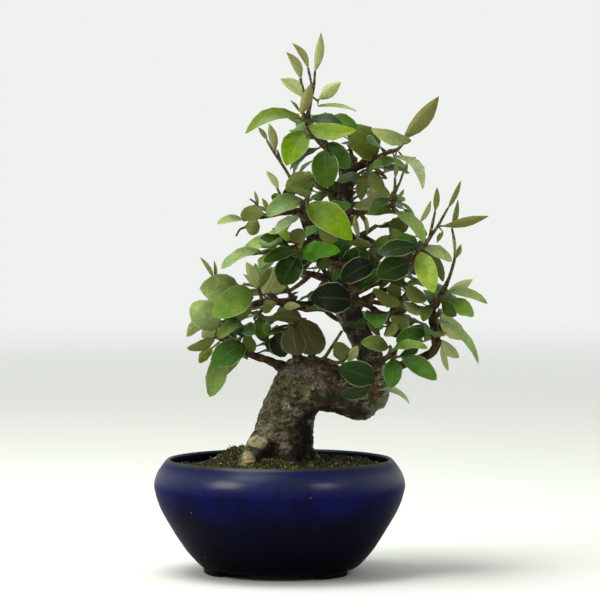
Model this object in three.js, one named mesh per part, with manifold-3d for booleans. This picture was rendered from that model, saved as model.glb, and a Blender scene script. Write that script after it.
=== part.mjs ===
// A silverberry (Elaeagnus) bonsai in a round, blue-glazed pot, at its real size in millimetres, +Z up.
// The tree leans and turns back at a sharp elbow; each leafy branch is a solid of its own, seated on the
// trunk. Places are read off a photograph: a pixel and a depth behind the pot's axis give a point.
import * as THREE from "three";
import { mergeVertices } from "three/addons/utils/BufferGeometryUtils.js";
import Module from "manifold-3d";

const wasm = await Module();
wasm.setup();

// The photograph's frame: how big a pixel is at the pot's axis, and where the camera stood.
const MM_PER_PIXEL = 0.42;
const PHOTO_MIDDLE = 300;
const POT_AXIS_PIXEL = 279.7;
const GROUND_PIXEL = 572;
const CAMERA_DISTANCE = 1400;
const CAMERA_PITCH = THREE.MathUtils.degToRad(2.58);

// The pot, a stoneware bowl with a rolled-in shoulder on three feet.
const BELLY_RADIUS = 52.6;
const LIP_HEIGHT = 47.8;
const FOOT_HEIGHT = 2.4;
const FOOT_ANGLES = [198, 318, 78];
const FOOT_SPREAD = 34;
const FOOT_INNER = 25.5;
const FOOT_OUTER = 32.2;
const FOOT_SUNK = 0.8;
const FLOOR_TOP = 7.4;
const DRAIN_RADIUS = 6.5;
const POT_SIDES = 28;
const FOOT_STEPS = 3;

// The pot's outside, lip and inside as [radius, height above its underside], up the one and down the other.
const POT_OUTSIDE = [
  [31.0, 0], [33.4, 0.9], [39.8, 8.0], [46.9, 19.2], [50.1, 25.2], [51.9, 30.4],
  [BELLY_RADIUS, 34.6], [51.5, 39.2], [48.0, 44.4],
];
const POT_LIP = [[46.9, LIP_HEIGHT - FOOT_HEIGHT], [45.6, 44.6]];
const POT_INSIDE = [[46.8, 41.2], [48.2, 35], [45.6, 25.4], [36.6, 10.6], [31, FLOOR_TOP - FOOT_HEIGHT]];

// Clearance between neighbouring solids, and between soil and what stands in it.
const GAP = 0.3;

// The soil, mounded up to the trunk's base.
const SOIL_EDGE = 45.6;
const SOIL_RADIUS = 45.2;
const SOIL_MOUND = 3.6;
const MOUND_MIDDLE = [2, -1];
const MOUND_SPREAD = 24;
const CRUMB_HEIGHT = 0.35;
const SOIL_WALL = [[30.6, FLOOR_TOP + GAP], [36.3, 13.3], [45.2, 28.1], [47.6, 37.4]];
const SOIL_RINGS = 4;
const SOIL_SIDES = 20;

// The drain mesh under the soil.
const MESH_SIDE = 20;
const MESH_THICK = 0.9;
const MESH_HOLES = 2;
const MESH_BAR = 1.6;
const MESH_LIFT = 0.15;

// Leaves: a blade's thickness at its rib, its stalk, and the sizes of those that are set by rule.
const BLADE_THICK = 0.9;
const STALK_RADIUS = 0.5;
const LEAF_LENGTH = 14.5;
const LEAF_SPREAD = 0.25;
const LEAF_SHAPE = 0.6;
const LEAF_CLEARANCE = 2.0;
const WOOD_CLEARANCE = 1.3;
const TRIES_PER_LEAF = 60;
const LEAF_SEED = 20;
const LONG_LEAF = 15.5;
const LONG_STALK = 4.5;
const ROOT_DEPTH = 0.4;
const BACK_PENALTY = 2.2;

// A blade's outline: how far down its widest place lies, how full it is, and how its tip is drawn in.
const TIP_TAPER = 0.12;

// How a leaf that is set by rule lies: its rise, its pull outwards, how its upper side sways and leans,
// and up to which draw it is of the mid and of the dark kind.
const RULE = { sink: 0.35, outward: 0.7, sway: 0.3, forward: 0.25, tilt: 0.4, mid: 0.4, dark: 0.7 };

// Wood: stations a span along which clearances are taken, and how far a tube's end bulges.
const STATIONS_PER_SPAN = 4;
const END_BULGE = 0.35;
const BARE_STATIONS = 6;
const THICK_LIMB = 6.5;
const CURVED_TUBES = ["column", "arm"];
const TRUNK_SIDES = 10;
const ROOT_SIDES = 6;
const TWIG_SIDES = 3;
const LIMB_SIDES = 4;

const vec = (x, y, z) => new THREE.Vector3(x, y, z);

// Camera facts that follow from the frame above.
const sinPitch = Math.sin(CAMERA_PITCH);
const cosPitch = Math.cos(CAMERA_PITCH);
const groundDrop = (GROUND_PIXEL - PHOTO_MIDDLE) * MM_PER_PIXEL;
const camera = vec(
  (PHOTO_MIDDLE - POT_AXIS_PIXEL) * MM_PER_PIXEL,
  -CAMERA_DISTANCE,
  (groundDrop + CAMERA_DISTANCE * sinPitch) / cosPitch,
);
const focalPixels = (CAMERA_DISTANCE * cosPitch + camera.z * sinPitch) / MM_PER_PIXEL;

// The point seen at a pixel of the photograph, depth millimetres behind the pot's axis.
function place(px, py, depth) {
  const side = (px - PHOTO_MIDDLE) / focalPixels;
  const rise = (PHOTO_MIDDLE - py) / focalPixels;
  const ray = vec(side, cosPitch + rise * sinPitch, rise * cosPitch - sinPitch);
  return ray.multiplyScalar((depth - camera.y) / ray.y).add(camera);
}

// The pixel at which a point shows: the inverse of place.
function pixelOf(point) {
  const v = point.clone().sub(camera);
  const ahead = v.y * cosPitch - v.z * sinPitch;
  const up = v.y * sinPitch + v.z * cosPitch;
  return [PHOTO_MIDDLE + (focalPixels * v.x) / ahead, PHOTO_MIDDLE - (focalPixels * up) / ahead];
}

// A draw from 0 to 1 that is the same on each run: a linear congruential generator.
function seeded(seed) {
  let state = seed >>> 0;
  return () => {
    state = (Math.imul(1664525, state) + 1013904223) >>> 0;
    return state / 4294967296;
  };
}

// The wood. A tube is a list of [pixel x, pixel y, depth, radius]; the first tubes are the trunk's.
const TRUNK = {
  column: [
    [284, 505, 0, 9.0], [283, 478, 0, 13.0], [281, 455, 0, 14.0], [284, 432, 0, 12.5],
    [287, 417, 0, 11.8], [294, 399, 0, 11.2], [302, 384, 0, 9.9], [307, 377, 0, 6.6],
  ],
  arm: [
    [296, 388, 0, 10.6], [306, 386, -1, 11.2], [320, 386, -1.5, 11.0], [336, 390, -1, 9.6],
    [352, 396, 0, 9.2], [366, 400, 1, 9.0], [376, 402, 1, 6.4],
  ],
  riser: [
    [369, 403, 1, 6.8], [374, 388, 1, 7.2], [373, 370, 1, 6.4], [368, 352, 0, 5.5],
    [359, 333, -1, 5.1], [350, 315, -1, 5.4], [345, 299, -1, 5.8], [341, 282, 0, 5.2],
    [338, 266, 1, 4.6], [340, 245, 2, 4.1], [343, 222, 2, 3.7], [345, 200, 1, 3.4],
    [346, 182, 0, 3.2], [343, 166, 0, 2.7], [334, 153, 0, 2.2], [325, 145, 0, 1.8],
  ],
  left_limb: [
    [340, 270, 0, 4.0], [327, 253, -3, 3.6], [315, 238, -5, 3.4], [308, 224, -6, 2.9],
    [304, 210, -6, 2.3], [306, 199, -6, 1.7],
  ],
  pruned_stub: [[351, 291, -2, 2.2], [354, 289, -6, 1.8], [356, 287.5, -9, 1.7]],
  root_front_left: [
    [273, 424, -4, 6.0], [264, 438, -9, 5.0], [255, 452, -14, 4.2], [247, 464, -20, 3.2],
    [243, 475, -26, 2.0],
  ],
  root_left: [[270, 440, 2, 6.0], [255, 451, 4, 4.4], [238, 461, 6, 3.0], [228, 472, 8, 1.8]],
  root_front: [[286, 440, -6, 5.6], [288, 454, -13, 4.2], [290, 468, -21, 2.6]],
  root_right: [[296, 446, 0, 5.6], [308, 456, 0, 4.0], [322, 467, 0, 2.4]],
  root_back: [[284, 438, 8, 5.6], [286, 450, 17, 4.2], [288, 462, 26, 2.4]],
};

// The leafy branches. wood holds the branch and its twigs; each leaf is [pixel x, pixel y, depth] of its
// blade's base, the same of its tip, width, roll and kind: at roll 0 the upper side faces the camera.
// fill is how many more leaves are set by rule.
const BRANCHES = {
  branch_left_low: {
    wood: [
      [[282, 367, -1, 2.4], [268, 360, -6, 1.9], [254, 356, -10, 1.6], [243, 351, -13, 1.4],
        [233, 344, -16, 1.3], [224, 335, -18, 1.0], [220, 326, -19, 0.8]],
      [[250, 354, -11, 1.3], [252, 342, -12, 1.1], [246, 330, -14, 0.9], [238, 322, -15, 0.7]],
      [[233, 344, -16, 1.0], [224, 341, -20, 0.8], [215, 337, -22, 0.7]],
      [[256, 357, -9, 1.4], [246, 350, 2, 1.1], [233, 345, 12, 0.9], [221, 339, 20, 0.7]],
      [[240, 349, -14, 1.0], [239, 351, -20, 0.8]],
    ],
    leaves: [
      [244, 344, -22, 212, 365, -30, 11.4, 12, "dark"],
      [221, 353, -19, 210, 397, -24, 9.0, -12, "mid"],
      [215, 338, -22, 187, 349, -24, 5.4, 205, "olive"],
      [212, 348, -18, 199, 363, -18, 4.6, 160, "olive"],
      [219, 321, -21, 186, 336, -24, 6.6, 150, "olive", 1.5],
      [224, 324, -17, 202, 338, -14, 8.2, 150, "olive"],
      [217, 329, -19, 192, 303, -18, 13.2, 12, "mid"],
      [240, 322, -18, 218, 338, -26, 6.4, 30, "mid"],
      [245, 349, -14, 216, 382, -12, 5.6, 160, "olive"],
      [246, 334, -16, 254, 352, -18, 6.0, 160, "olive"],
      [236, 321, -16, 226, 312, -18, 6.0, 20, "mid"],
    ],
    fill: 16,
  },
  branch_left_mid: {
    wood: [
      [[344, 301, -2, 3.6], [322, 306, -4, 2.7], [306, 307, -6, 2.4], [290, 304, -9, 2.1],
        [274, 301, -12, 1.8], [258, 303, -15, 1.5], [243, 308, -18, 1.2], [230, 312, -20, 0.9],
        [221, 315, -21, 0.7]],
      [[264, 302, -14, 1.2], [261, 295, -15, 0.9], [258, 289, -16, 0.7]],
      [[231, 311, -20, 0.9], [225, 300, -18, 0.8], [218, 288, -18, 0.6], [214, 280, -18, 0.5]],
      [[276, 301, -11, 1.4], [268, 292, -2, 1.1], [256, 286, 8, 0.9], [244, 284, 16, 0.7]],
      [[268, 302, -13, 1.1], [261, 311, -12, 0.9], [254, 319, -12, 0.7]],
      [[292, 304, -8, 1.3], [290, 294, -5, 1.0], [286, 286, -4, 0.8]],
      [[298, 306, -7, 1.3], [288, 312, 6, 1.1], [276, 316, 16, 0.9], [266, 318, 24, 0.7]],
    ],
    leaves: [
      [241, 295, -18, 200, 288, -24, 14.2, 14, "mid"],
      [252, 291, -22, 213, 316, -33, 12.0, -12, "mid", 0.8],
      [214, 279, -18, 200, 257, -18, 2.6, 150, "young"],
      [215, 280, -18, 214, 260, -17, 2.0, 30, "young"],
      [257, 288, -17, 243, 274, -18, 2.9, 150, "young"],
      [258, 287, -18, 246, 262, -20, 5.6, 165, "young"],
      [258, 287, -15, 255, 263, -13, 5.0, 20, "young"],
      [260, 287, -15, 272, 269, -14, 4.0, 200, "young"],
      [264, 294, -12, 277, 266, -10, 8.2, 160, "olive"],
      [258, 318, -14, 265, 338, -18, 7.2, 18, "dark"],
      [256, 322, -10, 268, 342, -10, 6.4, 40, "dark"],
      [286, 287, -5, 272, 287, -8, 6.4, 160, "olive"],
      [300, 306, -10, 283, 307, -14, 3.6, 160, "olive"],
      [252, 306, -18, 236, 318, -22, 6.4, 160, "olive"],
      [276, 303, -14, 262, 311, -18, 5.8, 150, "olive"],
    ],
    fill: 19,
  },
  branch_shoulder: {
    wood: [
      [[303, 370, -4, 3.0], [296, 354, -5, 2.2], [293, 339, -7, 1.8], [292, 327, -9, 1.5],
        [281, 328, -12, 1.2], [268, 333, -14, 0.8]],
      [[292, 329, -9, 1.3], [299, 322, -11, 1.0], [306, 319, -12, 0.8]],
      [[318, 364, -7, 1.3], [324, 359, -9, 0.9], [333, 345, -10, 0.7], [342, 331, -10, 0.6]],
      [[322, 359, -8, 1.2], [334, 363, -12, 1.0], [344, 362, -13, 0.8]],
      [[312, 364, -3, 2.0], [314, 352, 4, 1.4], [308, 342, 13, 1.1], [300, 336, 22, 0.8]],
    ],
    leaves: [
      [276, 334, -16, 285, 357, -20, 9.4, 10, "dark"],
      [287, 350, -12, 265, 344, -15, 8.6, 20, "dark"],
      [291, 326, -14, 298, 356, -20, 11.0, 165, "olive"],
      [301, 320, -13, 320, 354, -18, 14.2, 165, "olive"],
      [344, 361, -14, 336, 342, -13, 7.6, 160, "olive"],
      [345, 360, -14, 358, 346, -12, 5.0, 160, "olive"],
      [300, 318, -12, 272, 316, -16, 5.6, 160, "olive"],
      [270, 333, -15, 262, 325, -20, 5.0, 30, "dark"],
    ],
    fill: 8,
  },
  branch_left_upper: {
    wood: [
      [[318, 240, -5, 2.4], [304, 245, -9, 1.7], [292, 248, -12, 1.4], [278, 250, -15, 1.2],
        [264, 252, -18, 1.0], [252, 254, -20, 0.8]],
      [[302, 245, -9, 1.3], [290, 240, 2, 1.1], [277, 238, 12, 0.9], [264, 240, 20, 0.7]],
      [[296, 247, -11, 1.1], [298, 254, -14, 0.9], [299, 260, -16, 0.7]],
      [[304, 245, -8, 1.3], [306, 258, 0, 1.1], [302, 268, 8, 0.9], [294, 276, 15, 0.7]],
    ],
    leaves: [
      [291, 234, 0, 240, 253, -8, 7.6, 40, "mid", -0.5],
      [259, 250, -24, 221, 268, -30, 7.4, 45, "mid"],
      [282, 250, -16, 243, 263, -22, 9.4, 28, "mid", 1],
      [296, 240, -6, 268, 233, -8, 6.4, 40, "dark"],
      [293, 250, -22, 264, 261, -28, 6.2, 20, "dark"],
      [296, 258, -18, 281, 285, -24, 12.0, 8, "dark"],
      [303, 243, -11, 292, 230, -13, 7.0, 160, "olive"],
      [297, 255, -16, 340, 250, -24, 9.6, -30, "lime", -0.6],
      [268, 256, -18, 260, 268, -20, 5.0, 30, "mid"],
    ],
    fill: 14,
  },
  branch_left_high: {
    wood: [
      [[304, 211, -6, 1.7], [292, 211, -9, 1.5], [278, 213, -12, 1.4], [265, 216, -15, 1.2],
        [253, 218, -17, 0.9], [243, 220, -18, 0.7]],
      [[284, 212, -10, 1.0], [284, 204, -9, 0.8], [281, 196, -9, 0.7], [277, 188, -9, 0.5]],
      [[258, 217, -16, 0.9], [258, 210, -17, 0.7], [256, 203, -18, 0.6], [250, 199, -18, 0.4]],
      [[252, 218, -17, 0.8], [246, 227, -18, 0.6], [240, 229, -19, 0.5], [236, 236, -20, 0.4]],
      [[294, 211, -9, 1.3], [294, 200, -4, 1.0], [292, 190, 0, 0.9], [292, 181, 1, 0.8],
        [284, 167, 1, 0.7], [275, 154, 0, 0.6], [267, 141, 0, 0.5]],
      [[281, 162, 1, 0.6], [277, 150, 0, 0.5]],
      [[274, 214, -12, 1.1], [265, 209, -3, 0.9], [254, 206, 6, 0.7]],
    ],
    leaves: [
      [302, 199, -11, 266, 216, -18, 9.8, 32, "mid"],
      [299, 217, -12, 274, 234, -16, 6.0, 40, "mid"],
      [264, 214, -19, 240, 215, -22, 7.2, 155, "olive"],
      [243, 219, -20, 217, 224, -24, 5.0, 40, "mid"],
      [257, 220, -18, 250, 235, -20, 6.4, 165, "olive"],
      [258, 206, -17, 254, 190, -17, 1.8, 20, "young"],
      [268, 211, -14, 262, 198, -14, 2.6, 160, "young"],
      [281, 199, -11, 271, 196, -12, 3.6, 165, "olive"],
      [278, 189, -9, 266, 171, -9, 4.0, 150, "young"],
      [284, 199, -12, 291, 185, -12, 4.4, 20, "mid"],
      [267, 140, 0, 258, 127, 0, 2.6, 160, "young"],
      [275, 151, 0, 269, 123, -1, 4.6, 165, "young"],
      [296, 196, -10, 288, 189, -14, 5.4, 150, "olive"],
      [297, 193, -5, 312, 186, -8, 5.4, 150, "olive"],
    ],
    fill: 14,
  },
  sprout_front_upper: {
    wood: [
      [[310, 222, -8, 1.9], [308, 213, -13, 1.3], [307, 205, -17, 0.9]],
      [[308, 214, -13, 0.9], [314, 223, -17, 0.8], [318, 229, -18, 0.7]],
      [[306, 204, -16, 0.9], [309, 194, -18, 0.8], [313, 184, -19, 0.7], [314, 177, -19, 0.6]],
    ],
    leaves: [
      [307, 205, -20, 352, 239, -31, 12.6, -8, "lime", 0.9],
      [319, 229, -18, 338, 241, -18, 6.2, 160, "olive"],
      [313, 175, -19, 285, 190, -22, 8.0, 155, "olive"],
    ],
    fill: 3,
  },
  sprout_front_lower: {
    wood: [
      [[348, 276, -3, 2.4], [352, 272, -9, 1.5], [356, 268, -14, 1.1], [362, 265, -17, 0.9]],
      [[353, 272, -10, 1.1], [350, 284, -14, 0.9], [350, 297, -17, 0.8]],
      [[353, 271, -10, 1.0], [342, 264, -14, 0.8], [334, 262, -16, 0.6]],
    ],
    leaves: [
      [351, 300, -20, 311, 297, -29, 13.4, 6, "dark"],
      [372, 263, -20, 341, 280, -27, 10.4, 14, "dark"],
      [334, 262, -17, 317, 267, -20, 4.8, 155, "olive"],
      [346, 262, -16, 357, 248, -20, 6.0, 16, "dark"],
    ],
    fill: 4,
  },
  branch_apex: {
    wood: [
      [[330, 150, 0, 2.2], [318, 138, -1, 1.8], [308, 126, -2, 1.5], [308, 114, -2, 1.0],
        [311, 100, -2, 0.8], [314, 86, -2, 0.7], [315, 71, -2, 0.5]],
      [[309, 110, -2, 0.7], [305, 96, -3, 0.6], [303, 88, -3, 0.6], [300, 79, -3, 0.5]],
      [[313, 92, -2, 0.6], [311, 81, -2, 0.6], [308, 68, -2, 0.5]],
      [[308, 123, -3, 1.1], [314, 121, -8, 0.9], [322, 118, -11, 0.8], [330, 117, -13, 0.7]],
      [[316, 136, -2, 1.2], [322, 141, -8, 1.0], [326, 147, -13, 0.8]],
      [[314, 134, 0, 1.2], [306, 130, 9, 1.0], [297, 124, 17, 0.8]],
      [[320, 140, 0, 1.3], [330, 134, 9, 1.0], [340, 126, 17, 0.8]],
      [[308, 120, -2, 0.9], [303, 113, -4, 0.7], [300, 108, -5, 0.6]],
      [[312, 97, -2, 0.6], [318, 101, -3, 0.6]],
    ],
    leaves: [
      [315, 71, -2, 321, 32, -2, 4.8, 160, "young"],
      [308, 68, -2, 292, 43, -2, 4.0, 150, "young", 0.7],
      [301, 79, -3, 286, 52, -4, 4.8, 160, "young", 0.9],
      [303, 97, -4, 280, 79, -6, 6.6, 150, "young", 0.6],
      [319, 99, -3, 341, 82, -4, 6.8, 165, "young", 0.8],
      [301, 114, -6, 311, 83, -8, 5.6, 170, "young"],
      [299, 111, -5, 290, 100, -5, 1.8, 30, "young"],
      [318, 106, -4, 358, 110, 0, 4.6, -60, "olive", -1.0],
      [302, 119, -8, 245, 133, -14, 7.4, 32, "olive", 2.9],
      [301, 121, -6, 288, 117, 2, 4.6, 150, "olive"],
      [304, 131, -9, 286, 165, -17, 11.6, 12, "lime"],
      [319, 148, -12, 289, 169, -15, 5.2, 48, "lime"],
      [310, 120, -12, 342, 124, -19, 6.2, -30, "dark", 0.4],
      [331, 117, -12, 357, 128, -14, 6.6, -25, "dark"],
      [309, 127, -14, 356, 130, -24, 8.0, -18, "lime", -2.6],
      [325, 150, -18, 326, 188, -22, 11.8, 4, "mid"],
      [328, 143, -15, 350, 168, -19, 8.6, 14, "dark"],
    ],
    fill: 16,
  },
  branch_right_top: {
    wood: [
      [[343, 174, 0, 2.6], [356, 167, -3, 2.0], [368, 163, -5, 1.7], [379, 157, -7, 1.4],
        [388, 152, -8, 1.1], [397, 150, -9, 0.9], [403, 144, -9, 0.7], [404, 138, -9, 0.6]],
      [[368, 163, -5, 1.2], [369, 171, -8, 1.0], [367, 178, -10, 0.7]],
      [[360, 165, -4, 1.4], [368, 156, 6, 1.1], [377, 148, 14, 0.8]],
      [[352, 168, -2, 1.4], [352, 158, 9, 1.1], [350, 146, 17, 0.8]],
      [[370, 162, -4, 1.2], [378, 170, 5, 0.9], [386, 178, 12, 0.7]],
    ],
    leaves: [
      [404, 138, -10, 439, 96, -12, 8.4, 165, "young"],
      [411, 141, -10, 371, 129, -13, 7.0, 25, "mid", -2.4],
      [394, 156, -10, 423, 190, -13, 5.4, -30, "olive", 3.2],
      [407, 161, -8, 416, 157, -8, 2.8, 160, "young"],
      [394, 160, -8, 373, 167, -10, 5.6, 30, "mid"],
      [386, 160, -9, 369, 171, -11, 4.0, 40, "mid"],
      [370, 171, -12, 389, 197, -14, 6.4, 150, "dark"],
      [368, 172, -8, 360, 200, -6, 6.0, 160, "olive"],
      [376, 158, -9, 347, 126, -14, 13.4, 14, "mid"],
    ],
    fill: 16,
  },
  branch_right_upper: {
    wood: [
      [[343, 209, 1, 2.2], [356, 213, -3, 1.2], [372, 212, -6, 1.0], [388, 209, -8, 0.9],
        [394, 202, -8, 1.1], [395, 190, -8, 0.8], [395, 178, -8, 0.6]],
      [[396, 192, -8, 0.7], [400, 182, -8, 0.6], [403, 173, -8, 0.5]],
      [[392, 206, -8, 0.9], [398, 212, -10, 0.8], [402, 218, -11, 0.6]],
      [[380, 211, -6, 1.1], [390, 206, 4, 0.9], [400, 203, 13, 0.7]],
      [[362, 213, -4, 1.1], [366, 222, -6, 0.8], [367, 234, -8, 0.6]],
    ],
    leaves: [
      [395, 178, -8, 396, 161, -8, 2.4, 160, "young"],
      [403, 173, -8, 407, 162, -8, 2.4, 30, "young"],
      [398, 198, -8, 404, 189, -8, 2.0, 160, "young"],
      [399, 202, -9, 415, 216, -9, 2.4, -40, "young"],
      [396, 212, -13, 425, 243, -16, 6.4, -25, "mid", 1.2],
      [402, 213, -10, 427, 236, -10, 4.6, 150, "dark", 1.5],
      [391, 205, -2, 354, 207, 2, 7.4, 160, "olive"],
      [392, 212, -4, 366, 214, -2, 4.6, 30, "mid"],
      [388, 200, -6, 366, 192, -3, 8.4, 160, "olive"],
      [355, 215, -6, 359, 237, -8, 2.8, 160, "olive"],
      [367, 234, -8, 366, 216, -9, 1.9, 20, "young"],
    ],
    fill: 14,
  },
  branch_right_mid: {
    wood: [
      [[352, 290, 0, 3.2], [366, 285, -3, 2.4], [382, 280, -6, 2.0], [397, 273, -8, 1.8],
        [409, 264, -10, 1.6], [418, 254, -11, 1.3], [425, 245, -12, 1.1], [431, 236, -12, 0.9]],
      [[429, 239, -12, 0.8], [432, 226, -12, 0.7], [435, 212, -12, 0.5]],
      [[427, 242, -12, 0.7], [422, 232, -11, 0.6], [420, 223, -10, 0.5]],
      [[430, 237, -12, 0.8], [438, 226, -12, 0.7], [444, 215, -12, 0.6], [448, 208, -12, 0.5]],
      [[399, 272, -9, 1.2], [402, 260, -13, 1.0], [409, 252, -16, 0.8], [416, 248, -17, 0.7]],
      [[384, 279, -7, 1.2], [379, 268, -11, 1.0], [374, 256, -13, 0.8], [372, 246, -13, 0.6]],
      [[392, 276, -6, 1.3], [400, 268, 6, 1.1], [409, 258, 15, 0.9], [416, 247, 22, 0.7]],
      [[376, 282, -4, 1.3], [384, 270, 7, 1.1], [388, 256, 16, 0.9], [388, 242, 23, 0.7]],
      [[407, 266, -10, 1.0], [410, 263, -16, 0.8]],
    ],
    leaves: [
      [435, 211, -12, 437, 187, -12, 3.2, 165, "young"],
      [448, 208, -12, 461, 180, -12, 2.8, 160, "young"],
      [444, 226, -13, 489, 216, -15, 5.4, 155, "young", 0.8],
      [420, 222, -10, 431, 200, -8, 3.2, 150, "young"],
      [443, 232, -10, 437, 243, -8, 2.6, 160, "young"],
      [420, 252, -18, 434, 293, -25, 9.2, 6, "lime"],
      [424, 247, -12, 452, 261, -16, 6.0, -25, "mid"],
      [428, 250, -9, 443, 282, -8, 5.0, 150, "dark", 2],
      [409, 263, -17, 377, 276, -25, 11.2, 10, "dark"],
      [417, 247, -18, 378, 254, -24, 8.6, 30, "dark"],
      [418, 248, -14, 398, 236, -16, 6.2, 20, "mid"],
      [404, 256, -10, 392, 228, -8, 7.0, 160, "olive"],
      [374, 246, -12, 389, 236, -12, 4.6, 20, "mid"],
      [371, 246, -14, 351, 243, -16, 4.0, 150, "olive"],
    ],
    fill: 17,
  },
  branch_centre_right: {
    wood: [
      [[354, 300, -2, 2.4], [368, 305, -6, 1.5], [377, 312, -8, 1.3], [387, 315, -9, 1.2],
        [397, 309, -9, 1.0], [404, 299, -9, 0.9], [408, 289, -9, 0.7]],
      [[386, 315, -9, 1.0], [389, 325, -11, 0.8], [385, 335, -13, 0.6]],
      [[370, 306, -6, 1.1], [372, 296, -7, 0.9], [375, 289, -8, 0.7]],
      [[380, 313, -8, 1.1], [388, 322, 3, 0.9], [398, 330, 12, 0.7]],
    ],
    leaves: [
      [374, 289, -10, 401, 306, -14, 6.2, 160, "olive"],
      [407, 285, -10, 426, 302, -13, 7.4, 155, "olive"],
      [404, 302, -10, 423, 314, -12, 4.8, 160, "olive"],
      [391, 316, -12, 410, 326, -15, 6.2, 160, "olive"],
      [370, 312, -9, 380, 337, -11, 4.6, 150, "olive"],
      [385, 336, -14, 397, 323, -16, 4.6, 155, "olive"],
      [399, 300, -10, 389, 285, -12, 5.8, 160, "olive"],
    ],
    fill: 12,
  },
  branch_right_low: {
    wood: [
      [[374, 382, 3, 3.6], [389, 371, 6, 2.4], [404, 364, 4, 2.0], [420, 359, 1, 2.0],
        [432, 353, -3, 2.1], [437, 345, -5, 2.1], [434, 330, -6, 1.8], [431, 314, -7, 1.6],
        [435, 301, -8, 1.4], [443, 292, -9, 1.1], [450, 276, -9, 0.8], [455, 258, -9, 0.7],
        [455, 242, -9, 0.6], [452, 229, -9, 0.5]],
      [[437, 343, -5, 1.1], [442, 341, -9, 0.7]],
      [[432, 318, -7, 1.1], [439, 315, -10, 0.8]],
      [[437, 299, -8, 1.1], [447, 301, -11, 0.7]],
      [[432, 326, -6, 1.1], [427, 334, -11, 0.8]],
      [[431, 314, -7, 1.1], [420, 308, -9, 0.9], [411, 303, -9, 0.7]],
      [[432, 322, -5, 1.2], [438, 314, 7, 1.0], [447, 306, 15, 0.8]],
      [[404, 364, 4, 1.4], [412, 352, 12, 1.1], [420, 342, 20, 0.8]],
      [[389, 371, 7, 1.4], [393, 358, 18, 1.1], [398, 344, 27, 0.8]],
    ],
    leaves: [
      [452, 229, -9, 458, 199, -9, 2.9, 160, "young"],
      [455, 258, -9, 452, 236, -8, 1.7, 30, "young"],
      [456, 258, -9, 461, 244, -10, 2.6, 165, "young"],
      [448, 291, -10, 473, 279, -12, 5.2, 165, "young"],
      [447, 292, -12, 488, 303, -14, 5.0, -30, "olive", 0.6],
      [449, 300, -12, 474, 316, -15, 7.4, -14, "lime"],
      [443, 302, -11, 456, 316, -15, 6.0, 30, "dark"],
      [441, 314, -12, 467, 339, -12, 8.8, 155, "olive"],
      [437, 320, -12, 480, 363, -16, 5.0, -40, "mid", 1.2],
      [442, 341, -11, 459, 358, -12, 5.0, 165, "olive"],
      [443, 343, -8, 448, 371, -8, 3.2, 160, "olive"],
      [425, 332, -15, 396, 341, -19, 7.4, 20, "dark"],
      [430, 305, -12, 423, 321, -16, 5.0, 20, "dark"],
    ],
    fill: 16,
  },
  branch_front_right: {
    wood: [
      [[374, 366, -2, 2.6], [381, 361, -9, 1.6], [388, 357, -15, 1.2], [391, 351, -19, 1.0],
        [390, 346, -21, 0.7]],
      [[388, 357, -15, 1.0], [397, 357, -19, 0.7]],
    ],
    leaves: [
      [388, 347, -21, 361, 343, -27, 7.4, 22, "mid"],
      [392, 350, -20, 428, 348, -26, 5.4, -40, "mid", 0.6],
      [395, 359, -19, 391, 388, -23, 8.2, 6, "mid"],
      [402, 357, -21, 437, 379, -25, 8.4, -22, "dark"],
      [400, 356, -17, 419, 347, -16, 4.6, 30, "dark"],
    ],
    fill: 2,
  },
  sprout_elbow: {
    wood: [
      [[373, 399, -5, 2.2], [373, 391, -12, 1.4], [374, 384, -15, 1.1], [375, 380, -17, 0.8]],
      [[373, 391, -12, 1.0], [378, 389, -16, 0.7]],
    ],
    leaves: [
      [375, 379, -19, 339, 367, -26, 11.0, -4, "dark"],
      [370, 388, -18, 341, 395, -24, 6.4, -25, "dark"],
      [378, 390, -17, 410, 403, -19, 3.4, -40, "mid", 1.3],
    ],
    fill: 1,
  },
  branch_back_low: {
    wood: [
      [[364, 342, 2, 3.0], [354, 331, 14, 2.0], [346, 320, 25, 1.5], [332, 306, 36, 0.9]],
      [[354, 331, 14, 1.4], [366, 328, 22, 1.1], [378, 326, 30, 0.8]],
      [[348, 322, 23, 1.3], [334, 318, 27, 1.0], [312, 300, 33, 0.8]],
    ],
    leaves: [],
    fill: 14,
  },
  branch_back_right: {
    wood: [
      [[352, 312, 2, 2.8], [364, 300, 14, 1.9], [380, 292, 25, 1.4], [396, 286, 35, 0.9]],
      [[366, 299, 15, 1.3], [384, 304, 20, 1.0], [402, 308, 26, 0.8]],
      [[378, 293, 24, 1.2], [384, 280, 31, 1.0], [392, 268, 37, 0.8]],
    ],
    leaves: [],
    fill: 15,
  },
  branch_back_left: {
    wood: [
      [[344, 288, 2, 2.8], [330, 280, 14, 1.9], [312, 274, 25, 1.4], [294, 270, 34, 0.9]],
      [[328, 279, 15, 1.3], [320, 264, 22, 1.0], [312, 252, 29, 0.8]],
      [[312, 274, 25, 1.2], [300, 284, 31, 1.0], [288, 292, 37, 0.8]],
    ],
    leaves: [],
    fill: 15,
  },
  branch_back_mid: {
    wood: [
      [[341, 248, 3, 2.6], [352, 240, 14, 1.8], [364, 234, 25, 1.3], [376, 226, 34, 0.9]],
      [[350, 241, 13, 1.3], [342, 230, 22, 1.0], [336, 216, 30, 0.8]],
      [[362, 235, 23, 1.2], [378, 244, 28, 1.0], [392, 250, 34, 0.8]],
    ],
    leaves: [],
    fill: 15,
  },
  branch_back_upper: {
    wood: [
      [[345, 205, 2, 2.3], [336, 196, 12, 1.6], [324, 190, 22, 1.2], [312, 184, 30, 0.8]],
      [[338, 198, 11, 1.2], [350, 188, 20, 1.0], [360, 178, 27, 0.8]],
      [[326, 191, 20, 1.1], [318, 202, 26, 0.9], [308, 210, 32, 0.7]],
    ],
    leaves: [],
    fill: 15,
  },
};

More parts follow.
